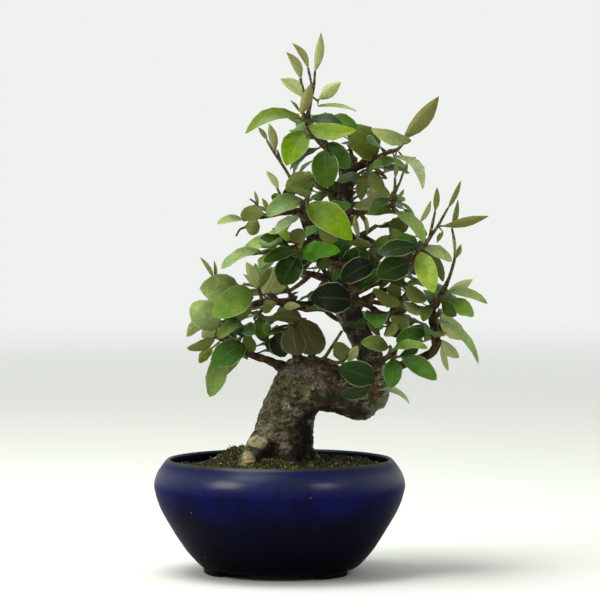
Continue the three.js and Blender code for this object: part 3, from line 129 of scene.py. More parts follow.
# The leafy stems: their twigs as nodes like the old wood's, their leaves as [base's pixel x, y and depth,
# tip's pixel x, y and depth, width, roll, kind:tone, bow], and how many leaves the rule adds.
BRANCHES = {
  "branch_left_low": {
    "wood": [
      [[282, 367, -1, 2.4], [268, 360, -6, 1.9], [254, 356, -10, 1.6], [243, 351, -13, 1.4],
        [233, 344, -16, 1.3], [224, 335, -18, 1.0], [220, 326, -19, 0.8]],
      [[250, 354, -11, 1.3], [252, 342, -12, 1.1], [246, 330, -14, 0.9], [238, 322, -15, 0.7]],
      [[233, 344, -16, 1.0], [224, 341, -20, 0.8], [215, 337, -22, 0.7]],
      [[256, 357, -9, 1.4], [246, 350, 2, 1.1], [233, 345, 12, 0.9], [221, 339, 20, 0.7]],
      [[240, 349, -14, 1.0], [239, 351, -20, 0.8]],
    ],
    "leaves": [
      [244, 344, -22, 212, 365, -30, 11.4, 12, "dark:mid"],
      [221, 353, -19, 210, 397, -24, 9.0, -12, "mid:sage"],
      [215, 338, -22, 187, 349, -24, 5.4, 205, "olive:mid"],
      [212, 348, -18, 199, 363, -18, 4.6, 160, "olive:citron"],
      [219, 321, -21, 186, 336, -24, 6.6, 150, "olive:sage", 1.5],
      [224, 324, -17, 202, 338, -14, 8.2, 150, "olive:sage"],
      [217, 329, -19, 192, 303, -18, 13.2, 12, "mid:pale"],
      [240, 322, -18, 218, 338, -26, 6.4, 30, "mid:moss"],
      [245, 349, -14, 216, 382, -12, 5.6, 160, "olive"],
      [246, 334, -16, 254, 352, -18, 6.0, 160, "olive:fresh"],
      [236, 321, -16, 226, 312, -18, 6.0, 20, "mid"],
    ],
    "fill": 16,
  },
  "branch_left_mid": {
    "wood": [
      [[344, 301, -2, 3.6], [322, 306, -4, 2.7], [306, 307, -6, 2.4], [290, 304, -9, 2.1],
        [274, 301, -12, 1.8], [258, 303, -15, 1.5], [243, 308, -18, 1.2], [230, 312, -20, 0.9],
        [221, 315, -21, 0.7]],
      [[264, 302, -14, 1.2], [261, 295, -15, 0.9], [258, 289, -16, 0.7]],
      [[231, 311, -20, 0.9], [225, 300, -18, 0.8], [218, 288, -18, 0.6], [214, 280, -18, 0.5]],
      [[276, 301, -11, 1.4], [268, 292, -2, 1.1], [256, 286, 8, 0.9], [244, 284, 16, 0.7]],
      [[268, 302, -13, 1.1], [261, 311, -12, 0.9], [254, 319, -12, 0.7]],
      [[292, 304, -8, 1.3], [290, 294, -5, 1.0], [286, 286, -4, 0.8]],
      [[298, 306, -7, 1.3], [288, 312, 6, 1.1], [276, 316, 16, 0.9], [266, 318, 24, 0.7]],
    ],
    "leaves": [
      [241, 295, -18, 200, 288, -24, 14.2, 14, "mid:sage"],
      [252, 291, -22, 213, 316, -33, 12.0, -12, "mid:leafy", 0.8],
      [214, 279, -18, 200, 257, -18, 2.6, 150, "young"],
      [215, 280, -18, 214, 260, -17, 2.0, 30, "young"],
      [257, 288, -17, 243, 274, -18, 2.9, 150, "young:sage"],
      [258, 287, -18, 246, 262, -20, 5.6, 165, "young:silver"],
      [258, 287, -15, 255, 263, -13, 5.0, 20, "young:fresh"],
      [260, 287, -15, 272, 269, -14, 4.0, 200, "young:fresh"],
      [264, 294, -12, 277, 266, -10, 8.2, 160, "olive:sage"],
      [258, 318, -14, 265, 338, -18, 7.2, 18, "dark:deep"],
      [256, 322, -10, 268, 342, -10, 6.4, 40, "dark"],
      [286, 287, -5, 272, 287, -8, 6.4, 160, "olive:pale"],
      [300, 306, -10, 283, 307, -14, 3.6, 160, "olive:silver"],
      [252, 306, -18, 236, 318, -22, 6.4, 160, "olive:shade"],
      [276, 303, -14, 262, 311, -18, 5.8, 150, "olive"],
    ],
    "fill": 19,
  },
  "branch_shoulder": {
    "wood": [
      [[303, 370, -4, 3.0], [296, 354, -5, 2.2], [293, 339, -7, 1.8], [292, 327, -9, 1.5],
        [281, 328, -12, 1.2], [268, 333, -14, 0.8]],
      [[292, 329, -9, 1.3], [299, 322, -11, 1.0], [306, 319, -12, 0.8]],
      [[318, 364, -7, 1.3], [324, 359, -9, 0.9], [333, 345, -10, 0.7], [342, 331, -10, 0.6]],
      [[322, 359, -8, 1.2], [334, 363, -12, 1.0], [344, 362, -13, 0.8]],
      [[312, 364, -3, 2.0], [314, 352, 4, 1.4], [308, 342, 13, 1.1], [300, 336, 22, 0.8]],
    ],
    "leaves": [
      [276, 334, -16, 285, 357, -20, 9.4, 10, "dark:black"],
      [287, 350, -12, 265, 344, -15, 8.6, 20, "dark"],
      [291, 326, -14, 298, 356, -20, 11.0, 165, "olive:black"],
      [301, 320, -13, 320, 354, -18, 14.2, 165, "olive:moss"],
      [344, 361, -14, 336, 342, -13, 7.6, 160, "olive:fresh"],
      [345, 360, -14, 358, 346, -12, 5.0, 160, "olive:silver"],
      [300, 318, -12, 272, 316, -16, 5.6, 160, "olive:moss"],
      [270, 333, -15, 262, 325, -20, 5.0, 30, "dark:mid"],
    ],
    "fill": 8,
  },
  "branch_left_upper": {
    "wood": [
      [[318, 240, -5, 2.4], [304, 245, -9, 1.7], [292, 248, -12, 1.4], [278, 250, -15, 1.2],
        [264, 252, -18, 1.0], [252, 254, -20, 0.8]],
      [[302, 245, -9, 1.3], [290, 240, 2, 1.1], [277, 238, 12, 0.9], [264, 240, 20, 0.7]],
      [[296, 247, -11, 1.1], [298, 254, -14, 0.9], [299, 260, -16, 0.7]],
      [[304, 245, -8, 1.3], [306, 258, 0, 1.1], [302, 268, 8, 0.9], [294, 276, 15, 0.7]],
    ],
    "leaves": [
      [291, 234, 0, 240, 253, -8, 7.6, 40, "mid:fresh", -0.5],
      [259, 250, -24, 221, 268, -30, 7.4, 45, "mid:pale"],
      [282, 250, -16, 243, 263, -22, 9.4, 28, "mid:fresh", 1],
      [296, 240, -6, 268, 233, -8, 6.4, 40, "dark:citron"],
      [293, 250, -22, 264, 261, -28, 6.2, 20, "dark:shade"],
      [296, 258, -18, 281, 285, -24, 12.0, 8, "dark"],
      [303, 243, -11, 292, 230, -13, 7.0, 160, "olive"],
      [297, 255, -16, 340, 250, -24, 9.6, -30, "lime:grass", -0.6],
      [268, 256, -18, 260, 268, -20, 5.0, 30, "mid:pale"],
    ],
    "fill": 14,
  },
  "branch_left_high": {
    "wood": [
      [[304, 211, -6, 1.7], [292, 211, -9, 1.5], [278, 213, -12, 1.4], [265, 216, -15, 1.2],
        [253, 218, -17, 0.9], [243, 220, -18, 0.7]],
      [[284, 212, -10, 1.0], [284, 204, -9, 0.8], [281, 196, -9, 0.7], [277, 188, -9, 0.5]],
      [[258, 217, -16, 0.9], [258, 210, -17, 0.7], [256, 203, -18, 0.6], [250, 199, -18, 0.4]],
      [[252, 218, -17, 0.8], [246, 227, -18, 0.6], [240, 229, -19, 0.5], [236, 236, -20, 0.4]],
      [[294, 211, -9, 1.3], [294, 200, -4, 1.0], [292, 190, 0, 0.9], [292, 181, 1, 0.8],
        [284, 167, 1, 0.7], [275, 154, 0, 0.6], [267, 141, 0, 0.5]],
      [[281, 162, 1, 0.6], [277, 150, 0, 0.5]],
      [[274, 214, -12, 1.1], [265, 209, -3, 0.9], [254, 206, 6, 0.7]],
    ],
    "leaves": [
      [302, 199, -11, 266, 216, -18, 9.8, 32, "mid:sage"],
      [299, 217, -12, 274, 234, -16, 6.0, 40, "mid:silver"],
      [264, 214, -19, 240, 215, -22, 7.2, 155, "olive"],
      [243, 219, -20, 217, 224, -24, 5.0, 40, "mid:pale"],
      [257, 220, -18, 250, 235, -20, 6.4, 165, "olive"],
      [258, 206, -17, 254, 190, -17, 1.8, 20, "young"],
      [268, 211, -14, 262, 198, -14, 2.6, 160, "young"],
      [281, 199, -11, 271, 196, -12, 3.6, 165, "olive"],
      [278, 189, -9, 266, 171, -9, 4.0, 150, "young:silver"],
      [284, 199, -12, 291, 185, -12, 4.4, 20, "mid"],
      [267, 140, 0, 258, 127, 0, 2.6, 160, "young"],
      [275, 151, 0, 269, 123, -1, 4.6, 165, "young:sage"],
      [296, 196, -10, 288, 189, -14, 5.4, 150, "olive"],
      [297, 193, -5, 312, 186, -8, 5.4, 150, "olive"],
    ],
    "fill": 14,
  },
  "sprout_front_upper": {
    "wood": [
      [[310, 222, -8, 1.9], [308, 213, -13, 1.3], [307, 205, -17, 0.9]],
      [[308, 214, -13, 0.9], [314, 223, -17, 0.8], [318, 229, -18, 0.7]],
      [[306, 204, -16, 0.9], [309, 194, -18, 0.8], [313, 184, -19, 0.7], [314, 177, -19, 0.6]],
    ],
    "leaves": [
      [307, 205, -20, 352, 239, -31, 12.6, -8, "lime", 0.9],
      [319, 229, -18, 338, 241, -18, 6.2, 160, "olive:leafy"],
      [313, 175, -19, 285, 190, -22, 8.0, 155, "olive"],
    ],
    "fill": 3,
  },
  "sprout_front_lower": {
    "wood": [
      [[348, 276, -3, 2.4], [352, 272, -9, 1.5], [356, 268, -14, 1.1], [362, 265, -17, 0.9]],
      [[353, 272, -10, 1.1], [350, 284, -14, 0.9], [350, 297, -17, 0.8]],
      [[353, 271, -10, 1.0], [342, 264, -14, 0.8], [334, 262, -16, 0.6]],
    ],
    "leaves": [
      [351, 300, -20, 311, 297, -29, 13.4, 6, "dark:black"],
      [372, 263, -20, 341, 280, -27, 10.4, 14, "dark:black"],
      [334, 262, -17, 317, 267, -20, 4.8, 155, "olive:shade"],
      [346, 262, -16, 357, 248, -20, 6.0, 16, "dark"],
    ],
    "fill": 4,
  },
  "branch_apex": {
    "wood": [
      [[330, 150, 0, 2.2], [318, 138, -1, 1.8], [308, 126, -2, 1.5], [308, 114, -2, 1.0],
        [311, 100, -2, 0.8], [314, 86, -2, 0.7], [315, 71, -2, 0.5]],
      [[309, 110, -2, 0.7], [305, 96, -3, 0.6], [303, 88, -3, 0.6], [300, 79, -3, 0.5]],
      [[313, 92, -2, 0.6], [311, 81, -2, 0.6], [308, 68, -2, 0.5]],
      [[308, 123, -3, 1.1], [314, 121, -8, 0.9], [322, 118, -11, 0.8], [330, 117, -13, 0.7]],
      [[316, 136, -2, 1.2], [322, 141, -8, 1.0], [326, 147, -13, 0.8]],
      [[314, 134, 0, 1.2], [306, 130, 9, 1.0], [297, 124, 17, 0.8]],
      [[320, 140, 0, 1.3], [330, 134, 9, 1.0], [340, 126, 17, 0.8]],
      [[308, 120, -2, 0.9], [303, 113, -4, 0.7], [300, 108, -5, 0.6]],
      [[312, 97, -2, 0.6], [318, 101, -3, 0.6]],
    ],
    "leaves": [
      [315, 71, -2, 321, 32, -2, 4.8, 160, "young:sage"],
      [308, 68, -2, 292, 43, -2, 4.0, 150, "young", 0.7],
      [301, 79, -3, 286, 52, -4, 4.8, 160, "young:pale", 0.9],
      [303, 97, -4, 280, 79, -6, 6.6, 150, "young:silver", 0.6],
      [319, 99, -3, 341, 82, -4, 6.8, 165, "young:silver", 0.8],
      [301, 114, -6, 311, 83, -8, 5.6, 170, "young"],
      [299, 111, -5, 290, 100, -5, 1.8, 30, "young"],
      [318, 106, -4, 358, 110, 0, 4.6, -60, "olive:pale", -1.0],
      [302, 119, -8, 245, 133, -14, 7.4, 32, "olive:herb", 2.9],
      [301, 121, -6, 288, 117, 2, 4.6, 150, "olive"],
      [304, 131, -9, 286, 165, -17, 11.6, 12, "lime"],
      [319, 148, -12, 289, 169, -15, 5.2, 48, "lime:moss"],
      [310, 120, -12, 342, 124, -19, 6.2, -30, "dark", 0.4],
      [331, 117, -12, 357, 128, -14, 6.6, -25, "dark:mid"],
      [309, 127, -14, 356, 130, -24, 8.0, -18, "lime", -2.6],
      [325, 150, -18, 326, 188, -22, 11.8, 4, "mid:deep"],
      [328, 143, -15, 350, 168, -19, 8.6, 14, "dark:mid"],
    ],
    "fill": 16,
  },
  "branch_right_top": {
    "wood": [
      [[343, 174, 0, 2.6], [356, 167, -3, 2.0], [368, 163, -5, 1.7], [379, 157, -7, 1.4],
        [388, 152, -8, 1.1], [397, 150, -9, 0.9], [403, 144, -9, 0.7], [404, 138, -9, 0.6]],
      [[368, 163, -5, 1.2], [369, 171, -8, 1.0], [367, 178, -10, 0.7]],
      [[360, 165, -4, 1.4], [368, 156, 6, 1.1], [377, 148, 14, 0.8]],
      [[352, 168, -2, 1.4], [352, 158, 9, 1.1], [350, 146, 17, 0.8]],
      [[370, 162, -4, 1.2], [378, 170, 5, 0.9], [386, 178, 12, 0.7]],
    ],
    "leaves": [
      [404, 138, -10, 439, 96, -12, 8.4, 165, "young:brown"],
      [411, 141, -10, 371, 129, -13, 7.0, 25, "mid:pale", -2.4],
      [394, 156, -10, 423, 190, -13, 5.4, -30, "olive:silver", 3.2],
      [407, 161, -8, 416, 157, -8, 2.8, 160, "young"],
      [394, 160, -8, 373, 167, -10, 5.6, 30, "mid:moss"],
      [386, 160, -9, 369, 171, -11, 4.0, 40, "mid"],
      [370, 171, -12, 389, 197, -14, 6.4, 150, "dark:fresh"],
      [368, 172, -8, 360, 200, -6, 6.0, 160, "olive:mid"],
      [376, 158, -9, 347, 126, -14, 13.4, 14, "mid:herb"],
    ],
    "fill": 16,
  },
  "branch_right_upper": {
    "wood": [
      [[343, 209, 1, 2.2], [356, 213, -3, 1.2], [372, 212, -6, 1.0], [388, 209, -8, 0.9],
        [394, 202, -8, 1.1], [395, 190, -8, 0.8], [395, 178, -8, 0.6]],
      [[396, 192, -8, 0.7], [400, 182, -8, 0.6], [403, 173, -8, 0.5]],
      [[392, 206, -8, 0.9], [398, 212, -10, 0.8], [402, 218, -11, 0.6]],
      [[380, 211, -6, 1.1], [390, 206, 4, 0.9], [400, 203, 13, 0.7]],
      [[362, 213, -4, 1.1], [366, 222, -6, 0.8], [367, 234, -8, 0.6]],
    ],
    "leaves": [
      [395, 178, -8, 396, 161, -8, 2.4, 160, "young"],
      [403, 173, -8, 407, 162, -8, 2.4, 30, "young"],
      [398, 198, -8, 404, 189, -8, 2.0, 160, "young"],
      [399, 202, -9, 415, 216, -9, 2.4, -40, "young:sage"],
      [396, 212, -13, 425, 243, -16, 6.4, -25, "mid:fresh", 1.2],
      [402, 213, -10, 427, 236, -10, 4.6, 150, "dark:deep", 1.5],
      [391, 205, -2, 354, 207, 2, 7.4, 160, "olive:silver"],
      [392, 212, -4, 366, 214, -2, 4.6, 30, "mid:herb"],
      [388, 200, -6, 366, 192, -3, 8.4, 160, "olive:sage"],
      [355, 215, -6, 359, 237, -8, 2.8, 160, "olive:sage"],
      [367, 234, -8, 366, 216, -9, 1.9, 20, "young"],
    ],
    "fill": 14,
  },
  "branch_right_mid": {
    "wood": [
      [[352, 290, 0, 3.2], [366, 285, -3, 2.4], [382, 280, -6, 2.0], [397, 273, -8, 1.8],
        [409, 264, -10, 1.6], [418, 254, -11, 1.3], [425, 245, -12, 1.1], [431, 236, -12, 0.9]],
      [[429, 239, -12, 0.8], [432, 226, -12, 0.7], [435, 212, -12, 0.5]],
      [[427, 242, -12, 0.7], [422, 232, -11, 0.6], [420, 223, -10, 0.5]],
      [[430, 237, -12, 0.8], [438, 226, -12, 0.7], [444, 215, -12, 0.6], [448, 208, -12, 0.5]],
      [[399, 272, -9, 1.2], [402, 260, -13, 1.0], [409, 252, -16, 0.8], [416, 248, -17, 0.7]],
      [[384, 279, -7, 1.2], [379, 268, -11, 1.0], [374, 256, -13, 0.8], [372, 246, -13, 0.6]],
      [[392, 276, -6, 1.3], [400, 268, 6, 1.1], [409, 258, 15, 0.9], [416, 247, 22, 0.7]],
      [[376, 282, -4, 1.3], [384, 270, 7, 1.1], [388, 256, 16, 0.9], [388, 242, 23, 0.7]],
      [[407, 266, -10, 1.0], [410, 263, -16, 0.8]],
    ],
    "leaves": [
      [435, 211, -12, 437, 187, -12, 3.2, 165, "young:olive"],
      [448, 208, -12, 461, 180, -12, 2.8, 160, "young:olive"],
      [444, 226, -13, 489, 216, -15, 5.4, 155, "young:brown", 0.8],
      [420, 222, -10, 431, 200, -8, 3.2, 150, "young:sage"],
      [443, 232, -10, 437, 243, -8, 2.6, 160, "young"],
      [420, 252, -18, 434, 293, -25, 9.2, 6, "lime:citron"],
      [424, 247, -12, 452, 261, -16, 6.0, -25, "mid:pale"],
      [428, 250, -9, 443, 282, -8, 5.0, 150, "dark", 2],
      [409, 263, -17, 377, 276, -25, 11.2, 10, "dark"],
      [417, 247, -18, 378, 254, -24, 8.6, 30, "dark"],
      [418, 248, -14, 398, 236, -16, 6.2, 20, "mid:olive"],
      [404, 256, -10, 392, 228, -8, 7.0, 160, "olive"],
      [374, 246, -12, 389, 236, -12, 4.6, 20, "mid:moss"],
      [371, 246, -14, 351, 243, -16, 4.0, 150, "olive:shade"],
    ],
    "fill": 17,
  },
  "branch_centre_right": {
    "wood": [
      [[354, 300, -2, 2.4], [368, 305, -6, 1.5], [377, 312, -8, 1.3], [387, 315, -9, 1.2],
        [397, 309, -9, 1.0], [404, 299, -9, 0.9], [408, 289, -9, 0.7]],
      [[386, 315, -9, 1.0], [389, 325, -11, 0.8], [385, 335, -13, 0.6]],
      [[370, 306, -6, 1.1], [372, 296, -7, 0.9], [375, 289, -8, 0.7]],
      [[380, 313, -8, 1.1], [388, 322, 3, 0.9], [398, 330, 12, 0.7]],
    ],
    "leaves": [
      [374, 289, -10, 401, 306, -14, 6.2, 160, "olive:mid"],
      [407, 285, -10, 426, 302, -13, 7.4, 155, "olive:leafy"],
      [404, 302, -10, 423, 314, -12, 4.8, 160, "olive:silver"],
      [391, 316, -12, 410, 326, -15, 6.2, 160, "olive:leafy"],
      [370, 312, -9, 380, 337, -11, 4.6, 150, "olive:shade"],
      [385, 336, -14, 397, 323, -16, 4.6, 155, "olive:young"],
      [399, 300, -10, 389, 285, -12, 5.8, 160, "olive:shade"],
    ],
    "fill": 12,
  },
  "branch_right_low": {
    "wood": [
      [[374, 382, 3, 3.6], [389, 371, 6, 2.4], [404, 364, 4, 2.0], [420, 359, 1, 2.0],
        [432, 353, -3, 2.1], [437, 345, -5, 2.1], [434, 330, -6, 1.8], [431, 314, -7, 1.6],
        [435, 301, -8, 1.4], [443, 292, -9, 1.1], [450, 276, -9, 0.8], [455, 258, -9, 0.7],
        [455, 242, -9, 0.6], [452, 229, -9, 0.5]],
      [[437, 343, -5, 1.1], [442, 341, -9, 0.7]],
      [[432, 318, -7, 1.1], [439, 315, -10, 0.8]],
      [[437, 299, -8, 1.1], [447, 301, -11, 0.7]],
      [[432, 326, -6, 1.1], [427, 334, -11, 0.8]],
      [[431, 314, -7, 1.1], [420, 308, -9, 0.9], [411, 303, -9, 0.7]],
      [[432, 322, -5, 1.2], [438, 314, 7, 1.0], [447, 306, 15, 0.8]],
      [[404, 364, 4, 1.4], [412, 352, 12, 1.1], [420, 342, 20, 0.8]],
      [[389, 371, 7, 1.4], [393, 358, 18, 1.1], [398, 344, 27, 0.8]],
    ],
    "leaves": [
      [452, 229, -9, 458, 199, -9, 2.9, 160, "young:olive"],
      [455, 258, -9, 452, 236, -8, 1.7, 30, "young"],
      [456, 258, -9, 461, 244, -10, 2.6, 165, "young"],
      [448, 291, -10, 473, 279, -12, 5.2, 165, "young:silver"],
      [447, 292, -12, 488, 303, -14, 5.0, -30, "olive:pale", 0.6],
      [449, 300, -12, 474, 316, -15, 7.4, -14, "lime:leafy"],
      [443, 302, -11, 456, 316, -15, 6.0, 30, "dark:deep"],
      [441, 314, -12, 467, 339, -12, 8.8, 155, "olive:sage"],
      [437, 320, -12, 480, 363, -16, 5.0, -40, "mid:pale", 1.2],
      [442, 341, -11, 459, 358, -12, 5.0, 165, "olive:sage"],
      [443, 343, -8, 448, 371, -8, 3.2, 160, "olive:silver"],
      [425, 332, -15, 396, 341, -19, 7.4, 20, "dark:shade"],
      [430, 305, -12, 423, 321, -16, 5.0, 20, "dark:moss"],
    ],
    "fill": 16,
  },
  "branch_front_right": {
    "wood": [
      [[374, 366, -2, 2.6], [381, 361, -9, 1.6], [388, 357, -15, 1.2], [391, 351, -19, 1.0],
        [390, 346, -21, 0.7]],
      [[388, 357, -15, 1.0], [397, 357, -19, 0.7]],
    ],
    "leaves": [
      [388, 347, -21, 361, 343, -27, 7.4, 22, "mid:moss"],
      [392, 350, -20, 428, 348, -26, 5.4, -40, "mid:herb", 0.6],
      [395, 359, -19, 391, 388, -23, 8.2, 6, "mid"],
      [402, 357, -21, 437, 379, -25, 8.4, -22, "dark:olive"],
      [400, 356, -17, 419, 347, -16, 4.6, 30, "dark"],
    ],
    "fill": 2,
  },
  "sprout_elbow": {
    "wood": [
      [[373, 399, -5, 2.2], [373, 391, -12, 1.4], [374, 384, -15, 1.1], [375, 380, -17, 0.8]],
      [[373, 391, -12, 1.0], [378, 389, -16, 0.7]],
    ],
    "leaves": [
      [375, 379, -19, 339, 367, -26, 11.0, -4, "dark"],
      [370, 388, -18, 341, 395, -24, 6.4, -25, "dark"],
      [378, 390, -17, 410, 403, -19, 3.4, -40, "mid:silver", 1.3],
    ],
    "fill": 1,
  },
  "branch_back_low": {
    "wood": [
      [[364, 342, 2, 3.0], [354, 331, 14, 2.0], [346, 320, 25, 1.5], [332, 306, 36, 0.9]],
      [[354, 331, 14, 1.4], [366, 328, 22, 1.1], [378, 326, 30, 0.8]],
      [[348, 322, 23, 1.3], [334, 318, 27, 1.0], [312, 300, 33, 0.8]],
    ],
    "leaves": [],
    "fill": 14,
  },
  "branch_back_right": {
    "wood": [
      [[352, 312, 2, 2.8], [364, 300, 14, 1.9], [380, 292, 25, 1.4], [396, 286, 35, 0.9]],
      [[366, 299, 15, 1.3], [384, 304, 20, 1.0], [402, 308, 26, 0.8]],
      [[378, 293, 24, 1.2], [384, 280, 31, 1.0], [392, 268, 37, 0.8]],
    ],
    "leaves": [],
    "fill": 15,
  },
  "branch_back_left": {
    "wood": [
      [[344, 288, 2, 2.8], [330, 280, 14, 1.9], [312, 274, 25, 1.4], [294, 270, 34, 0.9]],
      [[328, 279, 15, 1.3], [320, 264, 22, 1.0], [312, 252, 29, 0.8]],
      [[312, 274, 25, 1.2], [300, 284, 31, 1.0], [288, 292, 37, 0.8]],
    ],
    "leaves": [],
    "fill": 15,
  },
  "branch_back_mid": {
    "wood": [
      [[341, 248, 3, 2.6], [352, 240, 14, 1.8], [364, 234, 25, 1.3], [376, 226, 34, 0.9]],
      [[350, 241, 13, 1.3], [342, 230, 22, 1.0], [336, 216, 30, 0.8]],
      [[362, 235, 23, 1.2], [378, 244, 28, 1.0], [392, 250, 34, 0.8]],
    ],
    "leaves": [],
    "fill": 15,
  },
  "branch_back_upper": {
    "wood": [
      [[345, 205, 2, 2.3], [336, 196, 12, 1.6], [324, 190, 22, 1.2], [312, 184, 30, 0.8]],
      [[338, 198, 11, 1.2], [350, 188, 20, 1.0], [360, 178, 27, 0.8]],
      [[326, 191, 20, 1.1], [318, 202, 26, 0.9], [308, 210, 32, 0.7]],
    ],
    "leaves": [],
    "fill": 15,
  },
}

# The crown's outline and its see-through windows, in pixels: [x, y] and [x, y, radius].
CROWN = [
  [296, 112], [330, 112], [352, 122], [374, 136], [388, 150], [412, 168], [404, 190], [414, 214],
  [430, 244], [448, 258], [452, 286], [472, 296], [466, 332], [438, 350], [418, 342], [392, 344],
  [330, 352], [262, 356], [232, 362], [208, 352], [194, 332], [198, 304], [206, 288], [226, 282],
  [246, 284], [256, 268], [250, 254], [256, 238], [262, 232], [244, 222], [258, 204],
  [286, 186], [290, 168], [284, 146],
]

WINDOWS = [
  [330, 326, 21], [376, 301, 12], [368, 226, 11], [392, 182, 6],
  [316, 350, 8], [448, 268, 8], [260, 226, 8], [295, 282, 7], [279, 222, 6], [311, 287, 5],
  [270, 309, 5],
]


def unit(v):
    """A vector, or each row of vectors, at length 1."""
    return v / np.maximum(np.linalg.norm(v, axis=-1, keepdims=True), 1e-12)


def place(at):
    """The points seen at [pixel x, pixel y, depth]: the camera plus the pixel's ray out to that depth."""
    at = np.asarray(at, float)
    side = (at[..., 0] - MIDDLE) / FOCAL
    rise = (MIDDLE - at[..., 1]) / FOCAL
    ray = np.stack([side, COS + rise * SIN, rise * COS - SIN], -1)
    return CAMERA + ray * ((at[..., 2] - CAMERA[1]) / ray[..., 1])[..., None]


def pixel_of(points):
    """The pixel at which each point shows: the inverse of place."""
    v = points - CAMERA
    ahead = v[:, 1] * COS - v[:, 2] * SIN
    up = v[:, 1] * SIN + v[:, 2] * COS
    return MIDDLE + FOCAL * v[:, 0] / ahead, MIDDLE - FOCAL * up / ahead


def draws(seed):
    """Draws from 0 to 1, the same on each run: state = 1664525 state + 1013904223, modulo 2 to the 32."""
    state = seed
    while True:
        state = (1664525 * state + 1013904223) % 4294967296
        yield state / 4294967296


def spline(nodes, steps):
    """Catmull-Rom through the nodes a, b, c, d: half of 2b + (c-a)t + (2a-5b+4c-d)t^2 + (3b-a-3c+d)t^3."""
    nodes = np.asarray(nodes, float)
    held = np.vstack([2 * nodes[0] - nodes[1], nodes, 2 * nodes[-1] - nodes[-2]])
    a, b, c, d = (held[i:len(held) - 3 + i, None] for i in range(4))
    t = (np.arange(steps) / steps)[None, :, None]
    curve = (2 * b + (c - a) * t + (2 * a - 5 * b + 4 * c - d) * t**2 + (3 * b - a - 3 * c + d) * t**3) / 2
    return np.vstack([curve.reshape(-1, nodes.shape[1]), nodes[-1:]])


def line_of(tube):
    """A tube's nodes as rows of x, y, z and radius."""
    tube = np.asarray(tube, float)
    return np.column_stack([place(tube[:, :3]), tube[:, 3]])


def straight(line, steps):
    """Stations on straight spans, steps to each, without the first node."""
    t = (np.arange(1, steps + 1) / steps)[None, :, None]
    return (line[:-1, None] * (1 - t) + line[1:, None] * t).reshape(-1, 4)


def branch_lines(wood):
    """A branch's lines, each twig starting on the wood before it, and the stations along all of them."""
    lines, stations = [], np.empty((0, 4))
    for tube in wood:
        line = line_of(tube)
        if len(stations):
            away = ((stations[:, :3] - line[0, :3]) ** 2).sum(1)
            line[0, :3] = stations[np.argmin(away), :3]
        lines.append(line)
        stations = np.vstack([stations, straight(line, STATIONS_PER_SPAN)])
    return lines, stations


def blade_width(s, kind):
    """Half a blade's width as a share of its widest: sin(pi s^belly)^fullness, drawn in towards the tip."""
    belly, fullness = HABIT[kind][2:]
    return np.maximum(np.sin(math.pi * s**belly), 0) ** fullness * (1 - TIP_TAPER * s**6)


class Leaf:
    """A leaf from where it stands: its root in the wood, its blade's base and tip, the way that its upper
    side faces, and how far its rib bows sideways. marks are the points by which it keeps its distance."""

    def __init__(self, root, base, tip, width, facing, kind, bow):
        along = tip - base
        self.root, self.base, self.tip, self.width, self.bow = root, base, tip, width, bow
        self.kind, _, self.tone = kind.partition(":")
        self.length = float(np.linalg.norm(along))
        self.along = along / self.length
        self.up = unit(facing - self.along * (facing @ self.along))
        self.side = np.cross(self.along, self.up)
        s, q = (grid.ravel() for grid in np.meshgrid(MARKS_ALONG, MARKS_ACROSS, indexing="ij"))
        self.marks = np.vstack([root + 0.6 * (base - root), base, self.point(s, q)])
        self.middle = base + 0.4 * (tip - base) + bow
        self.reach = 0.62 * self.length + 1

    def point(self, s, q):
        """Points of the blade, s from base to tip and q from -1 to 1 across: the rib's arch and bow are
        4s(1-s) high, and both halves rise by the fold."""
        arch, fold = HABIT[self.kind][:2]
        half = self.width / 2 * blade_width(s, self.kind)
        crest = 4 * s * (1 - s)
        up = arch * self.length * crest + np.abs(q) * half * math.sin(fold)
        return (
            self.base + (self.tip - self.base) * s[:, None] + self.bow * crest[:, None]
            + self.up * up[:, None] + self.side * (q * half * math.cos(fold))[:, None]
        )


def leaf_seen(row, shift, stations):
    """A leaf read off the photograph, shift further along the line of sight, turned by roll about its rib."""
    bx, by, bd, tx, ty, td, width, roll, kind, *bow = row
    base, tip = place([[bx, by, bd + shift], [tx, ty, td + shift]])
    along = unit(tip - base)
    to_camera = np.array([0, -1, 0.12])
    to_camera = unit(to_camera - along * (to_camera @ along))
    lift = np.cross(to_camera, along)
    if lift[2] < 0:
        lift = -lift
    turn = math.radians(roll)
    facing = to_camera * math.cos(turn) + np.cross(along, to_camera) * math.sin(turn)
    stalk = base - stations[:, :3]
    cost = np.linalg.norm(stalk, axis=1) * (BACK_PENALTY - unit(stalk) @ along)
    root = stations[np.argmin(cost), :3]
    return Leaf(root, base, tip, width, facing, kind, lift * (bow[0] if bow else 0))


def leaf_by_rule(stations, draw):
    """A leaf somewhere along a twig: it opens outwards from the crown's core and faces up."""
    foot = stations[math.floor(next(draw) * len(stations))]
    turn = 2 * math.pi * next(draw)
    lean = next(draw) - RULE["sink"]
    size = LEAF_LENGTH * (1 + LEAF_SPREAD * (2 * next(draw) - 1))
    reach = 1 + 2 * next(draw)
    tint = next(draw)
    out = unit(np.array([foot[0] - CORE[0], foot[1] - CORE[1], 0]))
    way = unit(np.array([math.cos(turn), math.sin(turn), lean]) + RULE["outward"] * out)
    base = foot[:3] + way * (foot[3] + reach)
    sway = RULE["sway"] * np.array([math.cos(7 * turn), math.sin(7 * turn)])
    facing = np.array([sway[0], sway[1] - RULE["forward"], 1]) + RULE["tilt"] * out
    kind = "mid" if tint < RULE["mid"] else "dark:shade" if tint < RULE["dark"] else "olive"
    return Leaf(foot[:3], base, base + way * size, size * LEAF_SHAPE, facing, kind, np.zeros(3))


